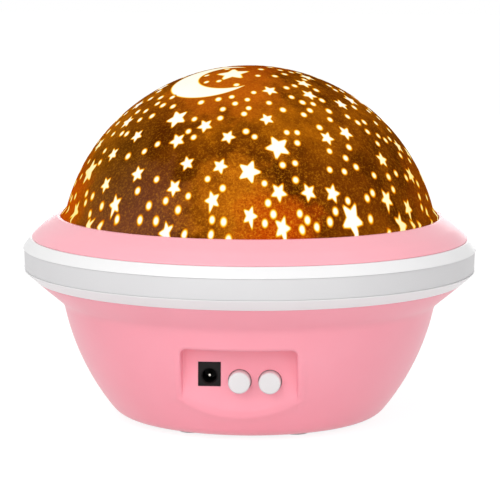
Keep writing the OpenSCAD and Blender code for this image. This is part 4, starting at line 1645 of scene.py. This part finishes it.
@dataclass
class CellSprings:
    """The coiled contact springs behind the cells."""

    finishes: Finishes
    bay: Bay = Bay()
    start_x: float = 25.25
    length: float = 5.7
    wide: float = 3.45
    narrow: float = 2.2
    turns: float = 4.5
    wire: float = 0.28

    def winder(self) -> Sower:
        """Builds the node group that winds a tapered spring at each point.

        Returns:
            The group, with the spring's sizes as named inputs, in millimetres.
        """
        group = Sower("wind_springs", {
            "Turns": self.turns, "Wide": self.wide, "Narrow": self.narrow,
            "Length": self.length, "Wire": self.wire,
        })
        coil = group.add("GeometryNodeCurveSpiral", Resolution=24)
        section = group.add("GeometryNodeCurvePrimitiveCircle", Resolution=8)
        pipe = group.add("GeometryNodeCurveToMesh", Fill_Caps=True)
        align = group.add("FunctionNodeAlignRotationToVector")
        align.axis = "Z"
        group.forms.inputs["Scale"].default_value = (MM, MM, MM)
        group.named("way", "FLOAT_VECTOR", align, "Vector")
        taken = {"Turns": "Rotations", "Wide": "Start Radius", "Narrow": "End Radius", "Length": "Height"}
        for size, socket in taken.items():
            group.link(group.entry, size, coil, socket)
        group.link(group.entry, "Wire", section, "Radius")
        group.link(coil, 0, pipe, "Curve")
        group.link(section, 0, pipe, "Profile Curve")
        group.link(pipe, 0, group.forms, "Instance")
        group.link(align, "Rotation", group.forms, "Rotation")
        return group

    def build(self) -> None:
        """Winds the four springs and fits them."""
        places = self.bay.places(self.start_x - self.wire)
        layers = {"way": [Vector((w, 0.0, 0.0)) for w, _ in places]}
        values = {"Finish": self.finishes["nickel"], "Length": self.length - 2 * self.wire}
        obj = self.winder().sow("cell_springs", [at for _, at in places], layers, values)
        face_out(obj)
        fit(obj, "battery_springs", "base", 50.0)


@dataclass
class DryCells:
    """The four dry cells: plain sleeves round steel cans with crimped ends."""

    finishes: Finishes
    bay: Bay = Bay()
    start_x: float = 19.65
    length: float = 44.5
    radius: float = 5.23
    nub_r: float = 1.9
    sleeve_end: float = 1.4
    sleeve_r: float = 4.65

    def cell(self, way: float, at: Vector) -> bpy.types.Object:
        """Turns one cell and lays it in the bay.

        Args:
            way: 1.0 where its cap points along +X, -1.0 where it points along -X.
            at: The middle of its minus end, in millimetres.

        Returns:
            The cell, sleeved and capped.
        """
        r, nub, end = self.radius, self.nub_r, self.length
        outline = soften([
            (0.0, 0.0, 0), (4.3, 0.0, 0.25), (4.7, 0.45, 0.2), (r, 0.6, 0.35), (r, end - 1.5, 0.5),
            (4.6, end - 1.35, 0.15), (4.4, end - 1.1, 0.15), (nub, end - 1.05, 0.2), (nub, end, 0.35),
            (0.0, end, 0),
        ], 5)
        piece = revolve("dry_cell", outline, self.finishes["cell"], 72)
        piece.data.materials.append(self.finishes["can"])
        for face in piece.data.polygons:
            along, out = face.center.z / MM, math.hypot(*face.center.xy) / MM
            face.material_index = 0 if 0.5 < along < end - self.sleeve_end and out > self.sleeve_r else 1
        turn = Matrix.Rotation(math.radians(90 * way), 4, "Y")
        piece.data.transform(Matrix.Translation(at * MM) @ turn)
        return piece

    def build(self) -> None:
        """Lays the four cells in their bay and fits them as one piece."""
        form = bmesh.new()
        row, *others = [self.cell(way, at) for way, at in self.bay.places(self.start_x)]
        for cell in others:
            form.from_mesh(cell.data)
            bpy.data.objects.remove(cell)
        form.from_mesh(row.data)
        form.to_mesh(row.data)
        form.free()
        row.name = "dry_cells"
        fit(row, "battery_cells", "base", 40.0)


@dataclass
class InnerWorks:
    """The pieces whose CAD form is kept and only dressed."""

    finishes: Finishes
    dress: dict[str, str] = field(default_factory=lambda: {
        "rubber_feet": "rubber", "housing_screws": "zinc", "battery_door": "pink",
        "battery_contacts": "nickel", "main_board": "green_board", "board_screws": "zinc",
        "light_switch": "black", "rotation_switch": "black", "turntable": "table",
        "motor_pinion": "gear", "motor_gearbox": "gear", "motor_can": "can", "motor_screws": "zinc",
        "lamp_cap": "table", "led_board": "white_board", "led_white": "led_white", "led_red": "led_red",
        "led_green": "led_green", "led_blue": "led_blue", "led_screws": "zinc",
    })

    def build(self) -> None:
        """Gives each kept node its finish."""
        for node, key in self.dress.items():
            for slot in frame["nodes"][node].material_slots:
                slot.link = "OBJECT"
                slot.material = self.finishes[key]
            LOG.info("%s: dressed in %s", node, key)


# --- studio -------------------------------------------------------------------------------------


@dataclass
class Studio:
    """The camera, the white floor and the soft light."""

    distance: float = 846.4
    aim_z: float = 55.5
    elevation: float = 7.87
    azimuth: float = 3.3
    roll: float = 0.29
    lens: float = 182.7
    shift_x: float = 0.0008
    floor_half: float = 3.0
    floor_white: Colour = (0.82, 0.82, 0.83, 1.0)
    floor_shade: Colour = (0.24, 0.24, 0.24, 1.0)
    floor_glow: float = 0.88
    sky_white: Colour = (1.0, 0.99, 0.985, 1.0)
    sky_fill: float = 0.57
    lamps: tuple[tuple[str, tuple[float, float, float], float, float], ...] = (
        ("key", (-0.45, -0.9, 0.8), 0.9, 6.0),
        ("fill", (0.8, -0.8, 0.4), 1.0, 2.7),
        ("front_low", (-0.1, -1.2, 0.06), 0.8, 3.4),
        ("back", (0.0, 1.2, 0.12), 0.8, 3.0),
    )

    def camera(self) -> None:
        """Sets the camera at the photograph's angle."""
        e, a = math.radians(self.elevation), math.radians(self.azimuth)
        ray = Vector((math.sin(a) * math.cos(e), -math.cos(a) * math.cos(e), math.sin(e)))
        data = bpy.data.cameras.new("photo_camera")
        data.lens = self.lens
        data.sensor_width = 36.0
        data.sensor_fit = "HORIZONTAL"
        data.shift_x = self.shift_x
        data.clip_start = 0.01
        camera = show("photo_camera", data)
        look = (-ray).to_track_quat("-Z", "Y").to_matrix().to_4x4()
        place = Matrix.Translation((Vector((0, 0, self.aim_z)) + ray * self.distance) * MM)
        camera.matrix_world = place @ look @ Matrix.Rotation(math.radians(self.roll), 4, "Z")
        bpy.context.scene.camera = camera

    def backdrop_material(self) -> bpy.types.Material:
        """Makes the floor: white with a faint shadow to the eye, and matte white to the lamps.

        Returns:
            The material.
        """
        g = Graph.material("studio_white")
        matte = g.node("ShaderNodeBsdfDiffuse", {}, {"Color": self.floor_white})
        shade = g.node("ShaderNodeBsdfDiffuse", {}, {"Color": self.floor_shade})
        plain = g.node("ShaderNodeEmission", {}, {"Color": WHITE, "Strength": self.floor_glow})
        seen = g.node("ShaderNodeAddShader", {}, {0: shade, 1: plain})
        return g.close(g.node("ShaderNodeMixShader", {}, {0: g.eye(), 1: matte, 2: seen}))

    def floor(self) -> None:
        """Lays the floor under the lamp."""
        half = self.floor_half
        mesh = bpy.data.meshes.new("floor")
        corners = [(-half, -half, 0), (half, -half, 0), (half, half, 0), (-half, half, 0)]
        mesh.from_pydata(corners, [], [[0, 1, 2, 3]])
        mesh.materials.append(self.backdrop_material())
        show("floor", mesh)

    def lamp(self, name: str, at: Sequence[float], size: float, power: float) -> None:
        """Hangs one soft box that faces the lamp.

        Args:
            name: The light's name.
            at: Its place in metres.
            size: Its side in metres.
            power: Its power in watts.
        """
        data = bpy.data.lights.new(name, "AREA")
        data.shape = "SQUARE"
        data.size = size
        data.energy = power
        obj = show(name, data)
        obj.location = at
        obj.rotation_euler = (Vector((0, 0, 0.05)) - Vector(at)).to_track_quat("-Z", "Y").to_euler()

    def world(self) -> None:
        """Fills the surroundings with even white light, and shows them as pure white."""
        g = Graph(bpy.data.worlds.new("studio"))
        fill = g.node("ShaderNodeBackground", {}, {"Color": self.sky_white, "Strength": self.sky_fill})
        seen = g.node("ShaderNodeBackground", {}, {"Color": WHITE, "Strength": 1.0})
        blend = g.node("ShaderNodeMixShader", {}, {0: g.eye(), 1: fill, 2: seen})
        bpy.context.scene.world = g.close(blend, "ShaderNodeOutputWorld")

    def build(self) -> None:
        """Builds the whole studio."""
        bpy.context.scene.view_settings.view_transform = "Standard"
        self.camera()
        self.floor()
        self.world()
        for name, at, size, power in self.lamps:
            self.lamp(name, at, size, power)


def main() -> None:
    """Builds the dressed lamp and its studio, and logs each piece as it is made."""
    logging.basicConfig(level=logging.INFO, format="%(message)s")
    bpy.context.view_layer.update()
    finishes = Finishes()
    Studio().build()
    for assembly in (LowerHousing, Collar, Rim, Controls, StarDome, CellSprings, DryCells, InnerWorks):
        assembly(finishes).build()


if __name__ == "__main__":
    main()
